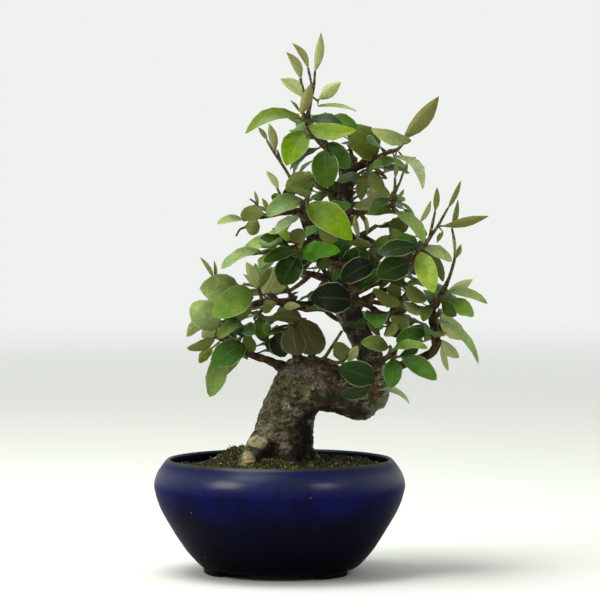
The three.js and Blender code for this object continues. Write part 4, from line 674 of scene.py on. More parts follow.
def close(marks, points, margins):
    """Whether any mark lies nearer to a point than that point's margin."""
    away = ((marks[:, None] - points[None]) ** 2).sum(-1)
    return bool((away < margins**2).any())


def is_clear(leaf, placed, stations, owners, own):
    """Whether a leaf keeps clear of the leaves so far, of foreign wood, and of its own past its base."""
    if placed:
        middles, reaches = np.array([one.middle for one in placed]), np.array([one.reach for one in placed])
        span = leaf.reach + reaches + LEAF_CLEARANCE
        near = np.flatnonzero(((middles - leaf.middle) ** 2).sum(1) <= span**2)
        if len(near) and close(leaf.marks, np.vstack([placed[i].marks for i in near]), LEAF_CLEARANCE):
            return False
    span = leaf.reach + stations[:, 3] + WOOD_CLEARANCE
    near = ((stations[:, :3] - leaf.middle) ** 2).sum(1) <= span**2
    for marks, which in ((leaf.marks[MARKS_NEAR_TWIG:], owners == own), (leaf.marks, owners != own)):
        wood = stations[near & which]
        if len(wood) and close(marks, wood[:, :3], wood[:, 3] + WOOD_CLEARANCE):
            return False
    return True


def in_crown(points):
    """Whether each point shows inside the crown's outline, by crossings, and outside its windows."""
    px, py = pixel_of(points)
    for x, y, radius in WINDOWS:
        if (np.hypot(px - x, py - y) < radius).any():
            return False
    ax, ay = np.array(CROWN, float).T[:, :, None]
    bx, by = np.roll(ax, -1, 0), np.roll(ay, -1, 0)
    with np.errstate(divide="ignore", invalid="ignore"):
        crossed = ((ay > py) != (by > py)) & (px < ax + (bx - ax) * (py - ay) / (by - ay))
    return bool((crossed.sum(0) % 2 == 1).all())


def place_leaves():
    """All branches with their lines, stations and leaves: first the leaves read off the photograph, each
    moved along the line of sight until it is clear, then those set by rule."""
    plans = {name: (*branch_lines(branch["wood"]), []) for name, branch in BRANCHES.items()}
    trunk = [spline(line_of(tube), STATIONS_PER_SPAN) for tube in TRUNK.values()]
    stations = np.vstack(trunk + [plan[1] for plan in plans.values()])
    counts = [sum(map(len, trunk))] + [len(plan[1]) for plan in plans.values()]
    owners = np.repeat(np.arange(-1, len(plans)), counts)
    placed = []
    for own, (name, (_, timber, leaves)) in enumerate(plans.items()):
        for row in BRANCHES[name]["leaves"]:
            choices = (leaf_seen(row, shift, timber) for shift in SHIFTS)
            leaf = next((one for one in choices if is_clear(one, placed, stations, owners, own)), None)
            if leaf:
                placed.append(leaf)
                leaves.append(leaf)
    draw = draws(LEAF_SEED)
    for own, (name, (_, timber, leaves)) in enumerate(plans.items()):
        tries, left = BRANCHES[name]["fill"] * TRIES_PER_LEAF, BRANCHES[name]["fill"]
        while tries > 0 and left > 0:
            tries -= 1
            leaf = leaf_by_rule(timber[BARE_STATIONS:], draw)
            if in_crown(leaf.marks) and is_clear(leaf, placed, stations, owners, own):
                placed.append(leaf)
                leaves.append(leaf)
                left -= 1
    return plans


# The fine forms: stations along a blade, thicknesses and grid sizes.
LEAF_STATIONS = [0.08, 0.25, 0.44, 0.63, 0.8, 0.93]
ACROSS = [-1, -0.5, 0, 0.5, 1, 0.5, 0, -0.5]
UNDERSIDE = [0, 0, 0, 0, 0, 0.7, 1, 0.7]
LEAF_TURN = [180, 135, 90, 45, 0, 315, 270, 225]
BLADE_THICK = 0.45
THINNING = 0.7
STALK_RADIUS = 0.42
STALK_ENDS = ((0.3, 1.0), (1.0, 0.85))
STALK_TIP = [-0.7, -0.02]
# A leaf's whims, each at least so much and up to so much more: the height and number of its waves, their
# phase, and the curl of its tip.
WHIM_LEAST = [0.07, 1.3, 0, 0]
WHIM_MORE = [0.18, 1.2, 1.0, 0.06]
SIDE_PHASE = 0.2
HUE_SPREAD, LIGHT_SPREAD, UNDER_SPREAD = 0.16, 0.3, 0.24
# A twig's sides, how uneven its girth is, and the collar where it leaves the trunk.
STOUT_TWIG, STOUT_SIDES, THIN_SIDES = 1.8, 12, 8
TWIG_GIRTH, TWIG_KNOTS, KNOT_SIZE = 0.93, 0.17, 2.2
COLLAR = [1.2, 1.12, 1.05]
TWIG_END = 0.6
TRUNK_SIDES = 20
TRUNK_VOXEL = 0.55
RELAX_ROUNDS = 10
POINTS_AT_ONCE = 4000
LATTICE = 32
FIELD = np.random.default_rng(7).random((LATTICE,) * 3)


def lumps(points, size):
    """Value noise from -1 to 1: the field's corners round each point, blended by 3t^2 - 2t^3."""
    at = points / size
    low = np.floor(at).astype(int)
    t = at - low
    t = t * t * (3 - 2 * t)
    total = np.zeros(len(points))
    for corner in np.ndindex(2, 2, 2):
        index = (low + corner) % LATTICE
        share = np.prod(np.where(corner, t, 1 - t), axis=1)
        total += share * FIELD[index[:, 0], index[:, 1], index[:, 2]]
    return 2 * total - 1


def layers(points, size, count):
    """Lumps of a size, of half of it and so on, each layer half as high as the one before."""
    return sum(lumps(points + 37.0 * i, size / 2**i) / 2**i for i in range(count))


def ramp(x, low, high):
    """0 below low, 1 above high, and 3t^2 - 2t^3 between."""
    t = np.clip((x - low) / (high - low), 0, 1)
    return t * t * (3 - 2 * t)


def turns(count):
    """Angles once round, as many as asked."""
    return 2 * math.pi * np.arange(count) / count


def circle(turn):
    """Points at some angles round a circle of radius 1: cosine, sine and 0."""
    return np.stack([np.cos(turn), np.sin(turn), 0 * turn], -1)


def skin(rings, start, end):
    """Rings of points joined by quads, with a fan to a point at each end: points, quads, triangles."""
    count, sides = rings.shape[:2]
    points = np.vstack([start, rings.reshape(-1, 3), end])
    ring = np.arange(count * sides).reshape(count, sides) + 1
    after = np.roll(ring, -1, 1)
    quads = np.stack([ring[:-1], after[:-1], after[1:], ring[1:]], -1).reshape(-1, 4)
    head = np.stack([np.zeros(sides, int), after[0], ring[0]], -1)
    tail = np.stack([np.full(sides, len(points) - 1), ring[-1], after[-1]], -1)
    return points, quads, np.vstack([head, tail])


def tube(line, sides, bulge=0.5):
    """A round tube along rows of x, y, z, radius: rings carried on without twist, with ends bulge r long."""
    spine, radius = line[:, :3], line[:, 3:]
    ahead = unit(np.gradient(spine, axis=0))
    across = [np.array([0.0, 1, 0]) if abs(ahead[0][0]) > 0.9 else np.array([1.0, 0, 0])]
    for way in ahead:
        across.append(unit(across[-1] - way * (across[-1] @ way)))
    across = np.array(across[1:])
    turn = turns(sides)[:, None]
    around = across[:, None] * np.cos(turn) + np.cross(ahead, across)[:, None] * np.sin(turn)
    rings = spine[:, None] + around * radius[:, None]
    start = spine[0] - ahead[0] * bulge * line[0, 3]
    end = spine[-1] + ahead[-1] * bulge * line[-1, 3]
    return skin(rings, start, end)


def turned(profile, sides):
    """A closed profile of [radius, height] turned round the axis, as a ring without poles."""
    points = np.array([radius * circle(turns(sides)) + [0, 0, height] for radius, height in profile])
    ring = np.arange(points.shape[0] * sides).reshape(-1, sides)
    after, above = np.roll(ring, -1, 1), np.roll(ring, -1, 0)
    quads = np.stack([ring, after, np.roll(after, -1, 0), above], -1).reshape(-1, 4)
    return points.reshape(-1, 3), quads, np.empty((0, 3), int)


def for_each(value, count):
    """A value's rows for each of count points: one number or colour for all of them, or one for each."""
    value = np.asarray(value, float)
    rows = value if value.ndim and len(value) == count else np.tile(value, (count, 1))
    return rows.reshape(count, -1)


def linked(name, data):
    """A new object in the scene with the data."""
    made = bpy.data.objects.new(name, data)
    bpy.context.scene.collection.objects.link(made)
    return made


class Soup:
    """Solids gathered into one mesh, with named values on their points and on their faces."""

    def __init__(self):
        self.points, self.quads, self.triangles, self.on_points, self.on_quads = [], [], [], [], []
        self.total = 0

    def add(self, solid, on_faces=None, **on_points):
        """Adds a solid. A value of a point is one number or colour, or one for each point; on_faces gives
        the faces' values as a pair, for the quads and for the triangles."""
        points, quads, triangles = solid
        self.points.append(points)
        self.quads.append(quads + self.total)
        self.triangles.append(triangles + self.total)
        self.on_points.append({name: for_each(value, len(points)) for name, value in on_points.items()})
        self.on_quads.append(on_faces)
        self.total += len(points)

    def mesh(self, name, per_unit=1, shift=(0, 0, 0)):
        """The solids as a mesh, in other units and shifted."""
        made = bpy.data.meshes.new(name)
        points = np.vstack(self.points) / per_unit + shift
        faces = np.vstack(self.quads).tolist() + np.vstack(self.triangles).tolist()
        made.from_pydata(points.tolist(), [], faces)
        return made


def piece(name, soup, material, slot, *replaced):
    """The soup as a named piece at the origin, in metres: smooth, with its values as attributes."""
    mesh = soup.mesh(name, 1000, AXIS)
    mesh.shade_smooth()
    for key in soup.on_points[0]:
        value = np.vstack([values[key] for values in soup.on_points])
        if value.shape[1] == 1:
            mesh.attributes.new(key, "FLOAT", "POINT").data.foreach_set("value", value.ravel())
        else:
            rgba = np.column_stack([value, np.ones(len(value))])
            mesh.attributes.new(key, "FLOAT_COLOR", "POINT").data.foreach_set("color", rgba.ravel())
    if soup.on_quads[0]:
        value = np.concatenate([pair[i] for i in (0, 1) for pair in soup.on_quads]).astype(float)
        mesh.attributes.new("below", "FLOAT", "FACE").data.foreach_set("value", value)
    mesh.materials.append(material)
    made = linked(name, mesh)
    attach(made, "root")
    if replaced:
        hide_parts(*replaced)
    return made


def sharpen(made, value, limit):
    """Marks as sharp the edges whose both ends have a value of at least limit, either way."""
    mesh = made.data
    held = np.empty(len(mesh.vertices))
    mesh.attributes[value].data.foreach_get("value", held)
    ends = np.empty(len(mesh.edges) * 2, int)
    mesh.edges.foreach_get("vertices", ends)
    sharp = (np.abs(held)[ends.reshape(-1, 2)] >= limit).all(1)
    mesh.attributes.new("sharp_edge", "BOOLEAN", "EDGE").data.foreach_set("value", sharp)


# The leaves' colours as the eye sees them, from 0 to 255: the upper side, and the silvery underside,
# partly lightened as painted light shining through the blade. The darkest tones, black and shade, are
# partly painted shade of leaves deep in the crown, and pale is partly a painted sheen.
LEAF_TONES = dict(
    shade=((45, 80, 15), (90, 95, 45)), dark=((30, 55, 10), (90, 100, 50)),
    black=((15, 25, 5), (60, 60, 30)), deep=((60, 85, 20), (70, 85, 40)),
    mid=((60, 95, 30), (105, 115, 55)), herb=((95, 120, 40), (105, 115, 50)),
    leafy=((115, 150, 60), (115, 125, 60)), grass=((105, 180, 40), (120, 135, 60)),
    lime=((100, 130, 10), (125, 140, 60)), citron=((145, 170, 65), (130, 145, 60)),
    fresh=((120, 145, 75), (95, 105, 50)), pale=((130, 150, 90), (150, 150, 95)),
    sage=((110, 135, 70), (170, 175, 115)), olive=((70, 110, 40), (120, 130, 65)),
    moss=((80, 100, 40), (80, 80, 40)), young=((140, 140, 85), (140, 140, 85)),
    silver=((170, 190, 140), (190, 200, 130)), brown=((120, 115, 65), (115, 115, 60)),
)


def seen(colour):
    """A colour given as the eye sees it, from 0 to 255, as light: ((c + 0.055) / 1.055)^2.4."""
    c = np.asarray(colour, float) / 255
    return np.where(c <= 0.04045, c / 12.92, ((c + 0.055) / 1.055) ** 2.4)


def leaf_solid(leaf, whim):
    """A blade with its stalk: rings of five points over and three under, through the blade's form with a
    waved margin, q^2 sin(2 pi (n s + phase)) high, and a tip that curls down by s^4."""
    s = np.array(LEAF_STATIONS)[:, None]
    q = np.array(ACROSS, float)[None]
    flat = leaf.point(np.repeat(s, len(ACROSS), 1).ravel(), np.tile(q, (len(s), 1)).ravel())
    broad = leaf.kind != "young"
    half = leaf.width / 2 * blade_width(s, leaf.kind)
    wave = whim[0] * half * q**2 * np.sin(2 * math.pi * (whim[1] * s + whim[2] + SIDE_PHASE * np.sign(q)))
    curl = -whim[3] * leaf.length * s**4
    sink = -BLADE_THICK * (1 - THINNING * s**2) * np.array(UNDERSIDE)
    lift = wave * (0.4 + 0.6 * broad) + curl * broad + sink
    rings = flat.reshape(len(s), -1, 3) + lift[..., None] * leaf.up
    stalk = leaf.base - leaf.root
    root = leaf.root if stalk @ stalk > 0.4 else leaf.base - 0.7 * leaf.along
    stalk = leaf.base - root
    ahead = unit(stalk)
    turn = np.radians(LEAF_TURN)
    start = root - unit(stalk + 0.4 * leaf.along) * ROOT_DEPTH
    foot = []
    for share, girth in STALK_ENDS:
        way = unit(ahead * (1 - share) + leaf.along * share + 1e-6)
        side = unit(leaf.side - way * (leaf.side @ way))
        up = np.cross(side, way)
        around = side * np.cos(turn)[:, None] + up * np.sin(turn)[:, None]
        foot.append(root + stalk * share + around * STALK_RADIUS * girth * min(1, leaf.width / 4 + 0.3))
    rings = np.concatenate([np.array(foot), rings])
    tip = leaf.tip - leaf.up * whim[3] * leaf.length * broad
    points, quads, triangles = skin(rings, start, tip)
    lower = np.tile(np.arange(len(ACROSS)) >= 4, len(rings) - 1)
    quads[lower] = np.roll(quads[lower], -1, axis=1)
    return points, quads, triangles


def leaf_values(count):
    """Along and across for each of a leaf's points, and which of its faces lie below."""
    along = np.concatenate([[-1], np.repeat(STALK_TIP + LEAF_STATIONS, len(ACROSS)), [1]])
    across = np.concatenate([[0], np.tile(np.array(ACROSS) * 0.5, 2), np.tile(ACROSS, count), [1.0]])
    lower = np.arange(len(ACROSS)) >= 4
    return along, across, (np.tile(lower, count + 1), np.tile(lower, 2))


def make_branch(name, lines, leaves, chance):
    """A branch as two pieces, its twigs and its leaves."""
    wood = Soup()
    for i, line in enumerate(lines):
        fine = np.vstack([line[:1], straight(line, STATIONS_PER_SPAN)])
        fine[1:-1] = (fine[:-2] + 2 * fine[1:-1] + fine[2:]) / 4
        fine[:, 3] *= TWIG_GIRTH + TWIG_KNOTS * lumps(fine[:, :3], KNOT_SIZE)
        if i == 0:
            fine[:3, 3] *= COLLAR
        sides = STOUT_SIDES if line[0, 3] > STOUT_TWIG else THIN_SIDES
        girth = np.concatenate([fine[:1, 3], np.repeat(fine[:, 3], sides), fine[-1:, 3]])
        wood.add(tube(fine, sides, TWIG_END), girth=girth, relief=0)
    piece(name.replace("branch", "twigs").replace("sprout", "sprig"), wood, BARK, "bark", name)
    soup = Soup()
    along, across, below = leaf_values(len(LEAF_STATIONS))
    for leaf in leaves:
        whim = chance.random(4) * WHIM_MORE + WHIM_LEAST
        tint = 1 + HUE_SPREAD * (chance.random(3) - 0.5) + LIGHT_SPREAD * (chance.random() - 0.5)
        upper, under = (seen(side) for side in LEAF_TONES[leaf.tone or leaf.kind])
        upper, under = upper * tint, under * (1 + UNDER_SPREAD * (chance.random() - 0.5))
        soup.add(leaf_solid(leaf, whim), below, along=along, across=across, tone=upper, under=under)
    made = piece(name.replace("branch", "leaves"), soup, LEAF, "foliage", name)
    sharpen(made, "across", 0.99)


def melted(solids, voxel):
    """Solids that run into each other as one skin: a voxel remesh of them, as points and quads."""
    soup = Soup()
    for solid in solids:
        soup.add(solid)
    mesh = soup.mesh("rough")
    rough = linked("rough", mesh)
    remesh = rough.modifiers.new("melt", "REMESH")
    remesh.mode, remesh.voxel_size = "VOXEL", voxel
    held = rough.evaluated_get(bpy.context.evaluated_depsgraph_get())
    done = held.to_mesh()
    points = np.empty(len(done.vertices) * 3)
    done.vertices.foreach_get("co", points)
    corners = np.empty(len(done.loops), int)
    done.loops.foreach_get("vertex_index", corners)
    held.to_mesh_clear()
    bpy.data.objects.remove(rough)
    bpy.data.meshes.remove(mesh)
    return points.reshape(-1, 3), corners.reshape(-1, 4)


def relaxed(points, quads, rounds):
    """The skin with each point drawn half way to the middle of its neighbours, as many rounds."""
    ends = np.vstack([quads[:, [i, (i + 1) % 4]] for i in range(4)])
    share = np.bincount(ends[:, 0], minlength=len(points))[:, None]
    for _ in range(rounds):
        pull = [np.bincount(ends[:, 0], points[ends[:, 1], k], len(points)) for k in range(3)]
        points = (points + np.stack(pull, 1) / share) / 2
    return points


def outward(points, quads):
    """The skin's direction at each point: the sum of its faces' crossed diagonals."""
    cross = np.cross(points[quads[:, 2]] - points[quads[:, 0]], points[quads[:, 3]] - points[quads[:, 1]])
    total = [np.bincount(quads.ravel(), np.repeat(cross[:, k], 4), len(points)) for k in range(3)]
    return unit(np.stack(total, 1))


# The old wood's marks: [pixel x, pixel y, depth, reach, height] of its burrs, scars and hollows.
BURRS = [
    [258, 444, -12, 4.5, 1.7], [249, 463, -20, 4, 1.8], [296, 372, -9, 9, 0.8], [318, 376, -11, 8, 0.5],
    [301, 405, -12, 8, -0.5], [279, 428, -14, 7, 0.6], [368, 404, -8, 7, 0.7], [362, 410, -6, 4, -0.6],
    [283, 366, -1, 6, 2.2], [312, 366, -6, 9, 0.9], [326, 370, -6, 8, 0.8], [288, 446, -14, 7, -0.6],
    [273, 436, -13, 6, 0.6], [335, 392, -9, 9, 0.5], [344, 300, -6, 7, 0.7],
    [352, 322, -6, 5, 0.5], [371, 372, -6, 6, 0.5], [310, 392, -11, 6, 0.4], [292, 420, -12, 5, 0.5],
]


# The old wood's colouring: [pixel x, pixel y, reach across, reach down, cover] and a colour for each spot.
# Most spots are the wood's own scars, knobs, algae, moss and cut ends; some are painted highlights on the lit
# left side and top of the column, painted shade down its right flank and under the arm, and the riser's dark
# red-brown is partly painted shade inside the crown.
SPOTS_AND_LIGHT = [
    ([318, 374, 20, 13, 0.7], (118, 94, 78)), ([288, 392, 22, 12, 0.6], (98, 92, 56)),
    # Painted highlights: both spots, pale grey on top of the bend.
    ([298, 373, 14, 6, 0.45], (132, 124, 116)), ([294, 378, 5, 8, 0.35], (140, 132, 124)),
    ([309, 368, 9, 4, 0.5], (144, 120, 102)), ([327, 386, 12, 6, 0.5], (120, 92, 74)),
    ([283, 374, 5, 7, 0.5], (112, 104, 88)), ([274, 420, 11, 16, 0.6], (96, 90, 54)),
    # Painted highlight: the first spot, down the column's lit left edge.
    ([262, 430, 5, 12, 0.75], (152, 142, 112)), ([264, 449, 15, 9, 0.85], (40, 32, 21)),
    ([257, 443, 8, 6, 1.0], (216, 206, 156)), ([248, 455, 4, 6, 0.8], (190, 174, 130)),
    ([255, 464, 10, 7, 0.8], (44, 38, 22)), ([248, 463, 6, 6, 1.0], (222, 200, 142)),
    # Painted highlight: the first spot, on the column's left; painted shade: the second, down its right
    # flank.
    ([268, 412, 9, 22, 0.45], (136, 130, 102)), ([300, 428, 13, 26, 0.6], (34, 27, 21)),
    # Painted shade: both spots, down the right flank and at its foot.
    ([307, 440, 10, 26, 0.95], (12, 10, 8)), ([294, 456, 14, 12, 0.85], (24, 19, 14)),
    # Painted shade: the first spot, under the arm.
    ([345, 412, 30, 7, 0.85], (48, 34, 26)), ([322, 404, 14, 6, 0.6], (72, 48, 34)),
    ([324, 394, 15, 7, 0.6], (56, 52, 32)),
    ([380, 408, 9, 10, 0.8], (126, 130, 102)), ([375, 388, 4, 7, 0.8], (138, 88, 46)),
    ([272, 432, 4, 9, 0.65], (158, 130, 114)), ([281, 442, 3.5, 9, 0.65], (154, 122, 106)),
    # The second spot, and the four on the next two lines, give the riser its dark red-brown, partly painted
    # shade inside the crown.
    ([268, 458, 14, 8, 0.75], (46, 46, 24)), ([364, 348, 9, 22, 0.6], (60, 46, 36)),
    ([350, 312, 12, 24, 0.85], (44, 33, 27)), ([341, 262, 12, 32, 0.85], (54, 36, 28)),
    ([343, 215, 12, 32, 0.9], (50, 32, 25)), ([345, 178, 10, 28, 0.9], (52, 34, 26)),
    # Painted shade: under the arm.
    ([338, 400, 26, 9, 0.5], (54, 44, 32)),
    ([355, 289, 4, 4, 0.95], (196, 184, 148)), ([338, 386, 12, 6, 0.5], (96, 84, 60)),
]


def painted(points, ways):
    """Each point's spot colour, the wood's own marks and painted light alike, and how much it covers:
    spots seen from the front, full where (x/a)^2 + (y/b)^2, made uneven by noise, is under 0.35, and gone
    where it is over 1.5."""
    px, py = pixel_of(points)
    front = ramp(-ways[:, 1], 0.0, 0.35)
    colour, cover = np.full((len(points), 3), 0.05), np.zeros(len(points))
    edge = 0.7 * layers(points + 21, 3.4, 3)
    for (x, y, wide, high, most), tint in SPOTS_AND_LIGHT:
        away = ((px - x) / wide) ** 2 + ((py - y) / high) ** 2
        share = (most * front * ramp(away + edge, 1.5, 0.35))[:, None]
        covered = np.maximum(share + cover[:, None] * (1 - share), 1e-6)
        colour = colour + (seen(tint) - colour) * share / covered
        cover = cover + share[:, 0] * (1 - cover)
    return colour, cover


def bark_relief(points):
    """How high the bark stands: soft burrs, long plates parted by cracks, wrinkles and grit."""
    grain = points * [1, 1, 0.45]
    crack = ramp(1 - np.abs(lumps(grain + 3, 3.4)), 0.72, 1.0) * ramp(lumps(points, 9), -0.5, 0.4)
    wrinkle = ramp(1 - np.abs(lumps(points * [0.5, 0.5, 1.6] + 11, 3.0)), 0.7, 1.0)
    relief = 0.5 * lumps(points, 8) + 0.3 * lumps(grain, 3.2) + 0.3 * layers(points + 5, 1.7, 2)
    return relief - 0.4 * crack - 0.3 * wrinkle


def make_trunk():
    """The trunk: its tubes melted together, then burrs and bark raised along the skin's direction."""
    solids = [tube(spline(line_of(rows), 5), TRUNK_SIDES, 0.35) for rows in TRUNK.values()]
    points, quads = melted(solids, TRUNK_VOXEL)
    points = relaxed(points, quads, RELAX_ROUNDS)
    girth = np.empty(len(points))
    tubes = np.vstack([spline(line_of(rows), 3) for rows in TRUNK.values()])
    for low in range(0, len(points), POINTS_AT_ONCE):
        some = points[low:low + POINTS_AT_ONCE]
        away = np.linalg.norm(some[:, None] - tubes[None, :, :3], axis=2) - tubes[:, 3]
        girth[low:low + POINTS_AT_ONCE] = tubes[np.argmin(away, axis=1), 3]
    ways = outward(points, quads)
    relief = bark_relief(points)
    rise = relief * np.clip(girth / 9, 0.3, 1.0)
    for burr in BURRS:
        away = np.linalg.norm(points - place(burr[:3]), axis=1)
        rise += burr[4] * np.exp(-((away / burr[3]) ** 2))
    paint, cover = painted(points, ways)
    bark = (points + ways * rise[:, None], quads, np.empty((0, 3), int))
    soup = Soup()
    soup.add(bark, girth=girth, relief=relief, paint=paint, cover=cover)
    piece("trunk_bark", soup, BARK, "bark", "trunk")


# The pot, as in the part's source.
FOOT_HEIGHT = 2.4
OUTSIDE = [[31.0, 0], [33.4, 0.9], [39.8, 8.0], [46.9, 19.2], [50.1, 25.2], [51.9, 30.4],
           [52.6, 34.6], [51.5, 39.2], [48.6, 43.6]]
LIP = [[47.4, 45.0], [46.9, 45.4], [46.3, 45.35], [45.8, 44.8]]
INSIDE = [[45.9, 43.6], [46.9, 41.2], [48.2, 35], [45.6, 25.4], [36.6, 10.6], [31, 5]]
DRAIN = [[12, 5], [6.9, 5], [6.5, 4.6], [6.5, 0.4], [6.9, 0], [20, 0]]
POT_SIDES = 192
FOOT_ANGLES = [198, 318, 78]
FOOT_SPREAD = 34
FOOT_STATIONS = 15
FOOT_MIDDLE, FOOT_HALF_WIDTH, FOOT_HALF_HEIGHT = 28.85, 3.35, 1.7


def make_pot():
    """The pot: its profile splined and turned, a little uneven as a thrown one is, on three rounded feet."""
    wall = spline(OUTSIDE + LIP + INSIDE, 5)
    points, quads, triangles = turned(np.vstack([wall, DRAIN]) + [0, FOOT_HEIGHT], POT_SIDES)
    away = np.linalg.norm(points[:, :2], axis=1)[:, None]
    uneven = 0.14 * lumps(points, 21) + 0.05 * lumps(points * [1, 1, 3], 6)
    points[:, :2] *= 1 + uneven[:, None] * ramp(away, 20, 40) / np.maximum(away, 1)
    soup = Soup()
    soup.add((points, quads, triangles))
    turn = turns(16)
    across, rise = (np.sign(wave) * np.abs(wave) ** 0.5 for wave in (np.cos(turn), np.sin(turn)))
    for angle in FOOT_ANGLES:
        sweep = np.radians(np.linspace(angle - FOOT_SPREAD / 2, angle + FOOT_SPREAD / 2, FOOT_STATIONS))
        ease = 1 - 0.35 * np.abs(np.linspace(-1, 1, FOOT_STATIONS))[:, None] ** 8
        radius = FOOT_MIDDLE + FOOT_HALF_WIDTH * ease * across
        height = FOOT_HALF_HEIGHT + FOOT_HALF_HEIGHT * rise * ease
        rings = circle(sweep)[:, None] * radius[..., None] + height[..., None] * [0, 0, 1]
        soup.add(skin(rings[:, ::-1], rings[0].mean(0), rings[-1].mean(0)))
    piece("pot_glazed", soup, GLAZE, "glaze", "pot")


# The soil: the height of its top at the edge, the wall that it fills as [radius, height], and the mounds
# and hollows of its top as [x, y, reach, height].
SOIL_EDGE = 44.3
SOIL_WALL = [[30.6, 7.7], [36.3, 13.3], [45.2, 28.1], [47.6, 37.4], [46.6, 42.0]]
SOIL_RADIUS = 45.6
SOIL_SIDES = 200
SOIL_RINGS = 90
MOUNDS = [[2, -1, 24, 3.6], [-16, 1, 6.5, 5.0], [-23, 3, 5, 2.0], [20, 6, 9, 1.2], [-8, -22, 9, 1.6],
          [-38, -6, 9, -1.8], [-30, 26, 11, -2.2], [40, 4, 8, -1.6], [9, -33, 9, 0.9], [30, -24, 10, 0.6]]


def soil_height(x, y):
    """The soil's top: its edge height and its mounds, each height times exp(-(distance/reach)^2 / 2)."""
    total = SOIL_EDGE
    for mx, my, reach, height in MOUNDS:
        total = total + height * np.exp(-((x - mx) ** 2 + (y - my) ** 2) / (2 * reach**2))
    flat = np.stack([np.ravel(x), np.ravel(y), np.zeros(np.size(x))], -1)
    crumbs = 0.55 * lumps(flat, 5) + 0.45 * lumps(flat + 9, 2.1) + 0.2 * lumps(flat + 4, 0.9)
    return total + crumbs.reshape(np.shape(x))


def on_soil(x, y):
    """The points on the soil's top at x and y."""
    return np.stack([x, y, soil_height(x, y)], -1)


def make_soil():
    """The soil: rings up the bowl's wall, then in over the crumbly top to its middle."""
    around = circle(turns(SOIL_SIDES))
    rings = [radius * around + [0, 0, height] for radius, height in SOIL_WALL]
    for radius in SOIL_RADIUS * np.sqrt(np.linspace(1, 0.0004, SOIL_RINGS)):
        rings.append(on_soil(*(radius * around.T[:2])))
    soup = Soup()
    soup.add(skin(np.array(rings), [0, 0, SOIL_WALL[0][1]], on_soil(np.zeros(1), np.zeros(1))))
    piece("soil_top", soup, SOIL, "soil", "soil")


# The moss's tones, the stones' tones, and the bright places as [pixel x, pixel y, depth, reach].
MOSS = dict(
    deep=(26, 28, 12), olive=(50, 52, 21), fresh=(80, 90, 28), bright=(108, 134, 40), dry=(98, 80, 48),
)
GRIT = [(36, 33, 19), (58, 49, 29), (96, 89, 56), (20, 18, 11), (150, 140, 104)]
BRIGHT = [[276, 466, -38, 5], [239, 463, -30, 5], [223, 466, -30, 6], [240, 452, -4, 4], [281, 467, -40, 5]]
FRONDS = 6400
STONES = 1800
# The moss is thickest round the trunk: [x, y], its reach squared and doubled, and by how much. Then how
# much the fronds lean, how high they stand at least, and how much higher some of them and the bright ones.
THICKEST, THICK_REACH, THICKER = [-8, 0], 500, 0.9
FROND_LEAN = 0.45
FROND_LEAST, FROND_MORE, FROND_BRIGHTER = 0.5, 0.9, 0.5


def flock(rings, starts, ends):
    """Many small skins of one build: rings is skins by rings by sides by 3, with a start and end for each."""
    many = len(rings)
    points = np.concatenate([starts[:, None], rings.reshape(many, -1, 3), ends[:, None]], 1)
    _, quads, triangles = skin(rings[0], starts[0], ends[0])
    step = points.shape[1] * np.arange(many)[:, None, None]
    return points.reshape(-1, 3), (quads + step).reshape(-1, 4), (triangles + step).reshape(-1, 3)


def scatter(chance, count, radius):
    """Random places on the soil inside a radius."""
    away, turn = radius * np.sqrt(chance.random(count)), 2 * math.pi * chance.random(count)
    return on_soil(away * np.cos(turn), away * np.sin(turn))


def clumps(points):
    """How light the growth is at each point: 1 + 0.7 noise of 4 mm, held between 0.3 and 1.7."""
    return np.clip(1 + 0.7 * lumps(points * [1, 1, 0] + 31, 4)[:, None], 0.3, 1.7)


def make_moss():
    """Moss fronds and grit over the soil: leaning spikes of three sides, and small eight-sided stones."""
    chance = np.random.default_rng(11)
    soup = Soup()
    foot = scatter(chance, FRONDS, 44.6)
    near_trunk = THICKER * np.exp(-((foot[:, :2] - THICKEST) ** 2).sum(1) / THICK_REACH)
    thick = lumps(foot * [1, 1, 0] + [0, 0, 3], 7) + near_trunk > -0.15 + 0.5 * (chance.random(FRONDS) - 0.5)
    foot = foot[thick]
    size, pick, turn = chance.random((3, len(foot)))
    near = np.zeros(len(foot))
    for px, py, depth, reach in BRIGHT:
        near = np.maximum(near, np.exp(-((foot - place([px, py, depth]))[:, :2] ** 2).sum(1) / reach**2))
    tone = np.select([pick < 0.8 * near, pick < 0.14 + 0.6 * near, pick < 0.46, pick < 0.62], range(4), 4)
    tones = np.array([seen(MOSS[name]) for name in ("bright", "fresh", "olive", "dry", "deep")])[tone]
    tones = tones * (0.8 + 0.5 * chance.random((len(foot), 1))) * clumps(foot)
    height = (FROND_LEAST + FROND_MORE * size**2 + FROND_BRIGHTER * near)[:, None]
    width = (0.24 + 0.2 * size)[:, None, None]
    lean = np.column_stack([chance.normal(0, FROND_LEAN, (len(foot), 2)), np.ones(len(foot))])
    ring = circle(2 * math.pi * (turn[:, None] + np.arange(3) / 3)) * width
    low = foot[:, None] + ring - [0, 0, 0.4]
    rings = np.stack([low, low + ring * -0.25 + (lean * height / 2)[:, None]], 1)
    solid = flock(rings, foot - [0, 0, 0.5], foot + lean * height)
    soup.add(solid, tone=np.repeat(tones, len(solid[0]) // len(foot), axis=0))
    stone = scatter(chance, STONES, 44.8)
    size = (0.35 + 0.7 * chance.random(STONES) ** 2)[:, None, None]
    around = circle(2 * math.pi * (chance.random((STONES, 1)) + np.arange(4) / 4))
    squash = 0.6 + 0.5 * chance.random((STONES, 1, 3))
    ring = stone[:, None] + size * squash * around
    up = (size * squash)[:, 0] * [0, 0, 1]
    tones = np.array([seen(grey) for grey in GRIT])[chance.integers(len(GRIT), size=STONES)]
    tones = tones * (0.7 + 0.5 * chance.random((STONES, 1))) * clumps(stone)
    solid = flock(ring[:, None], stone - up, stone + 0.8 * up)
    soup.add(solid, tone=np.repeat(tones, len(solid[0]) // STONES, axis=0))
    piece("moss_and_grit", soup, MOSS_FINISH, "soil")


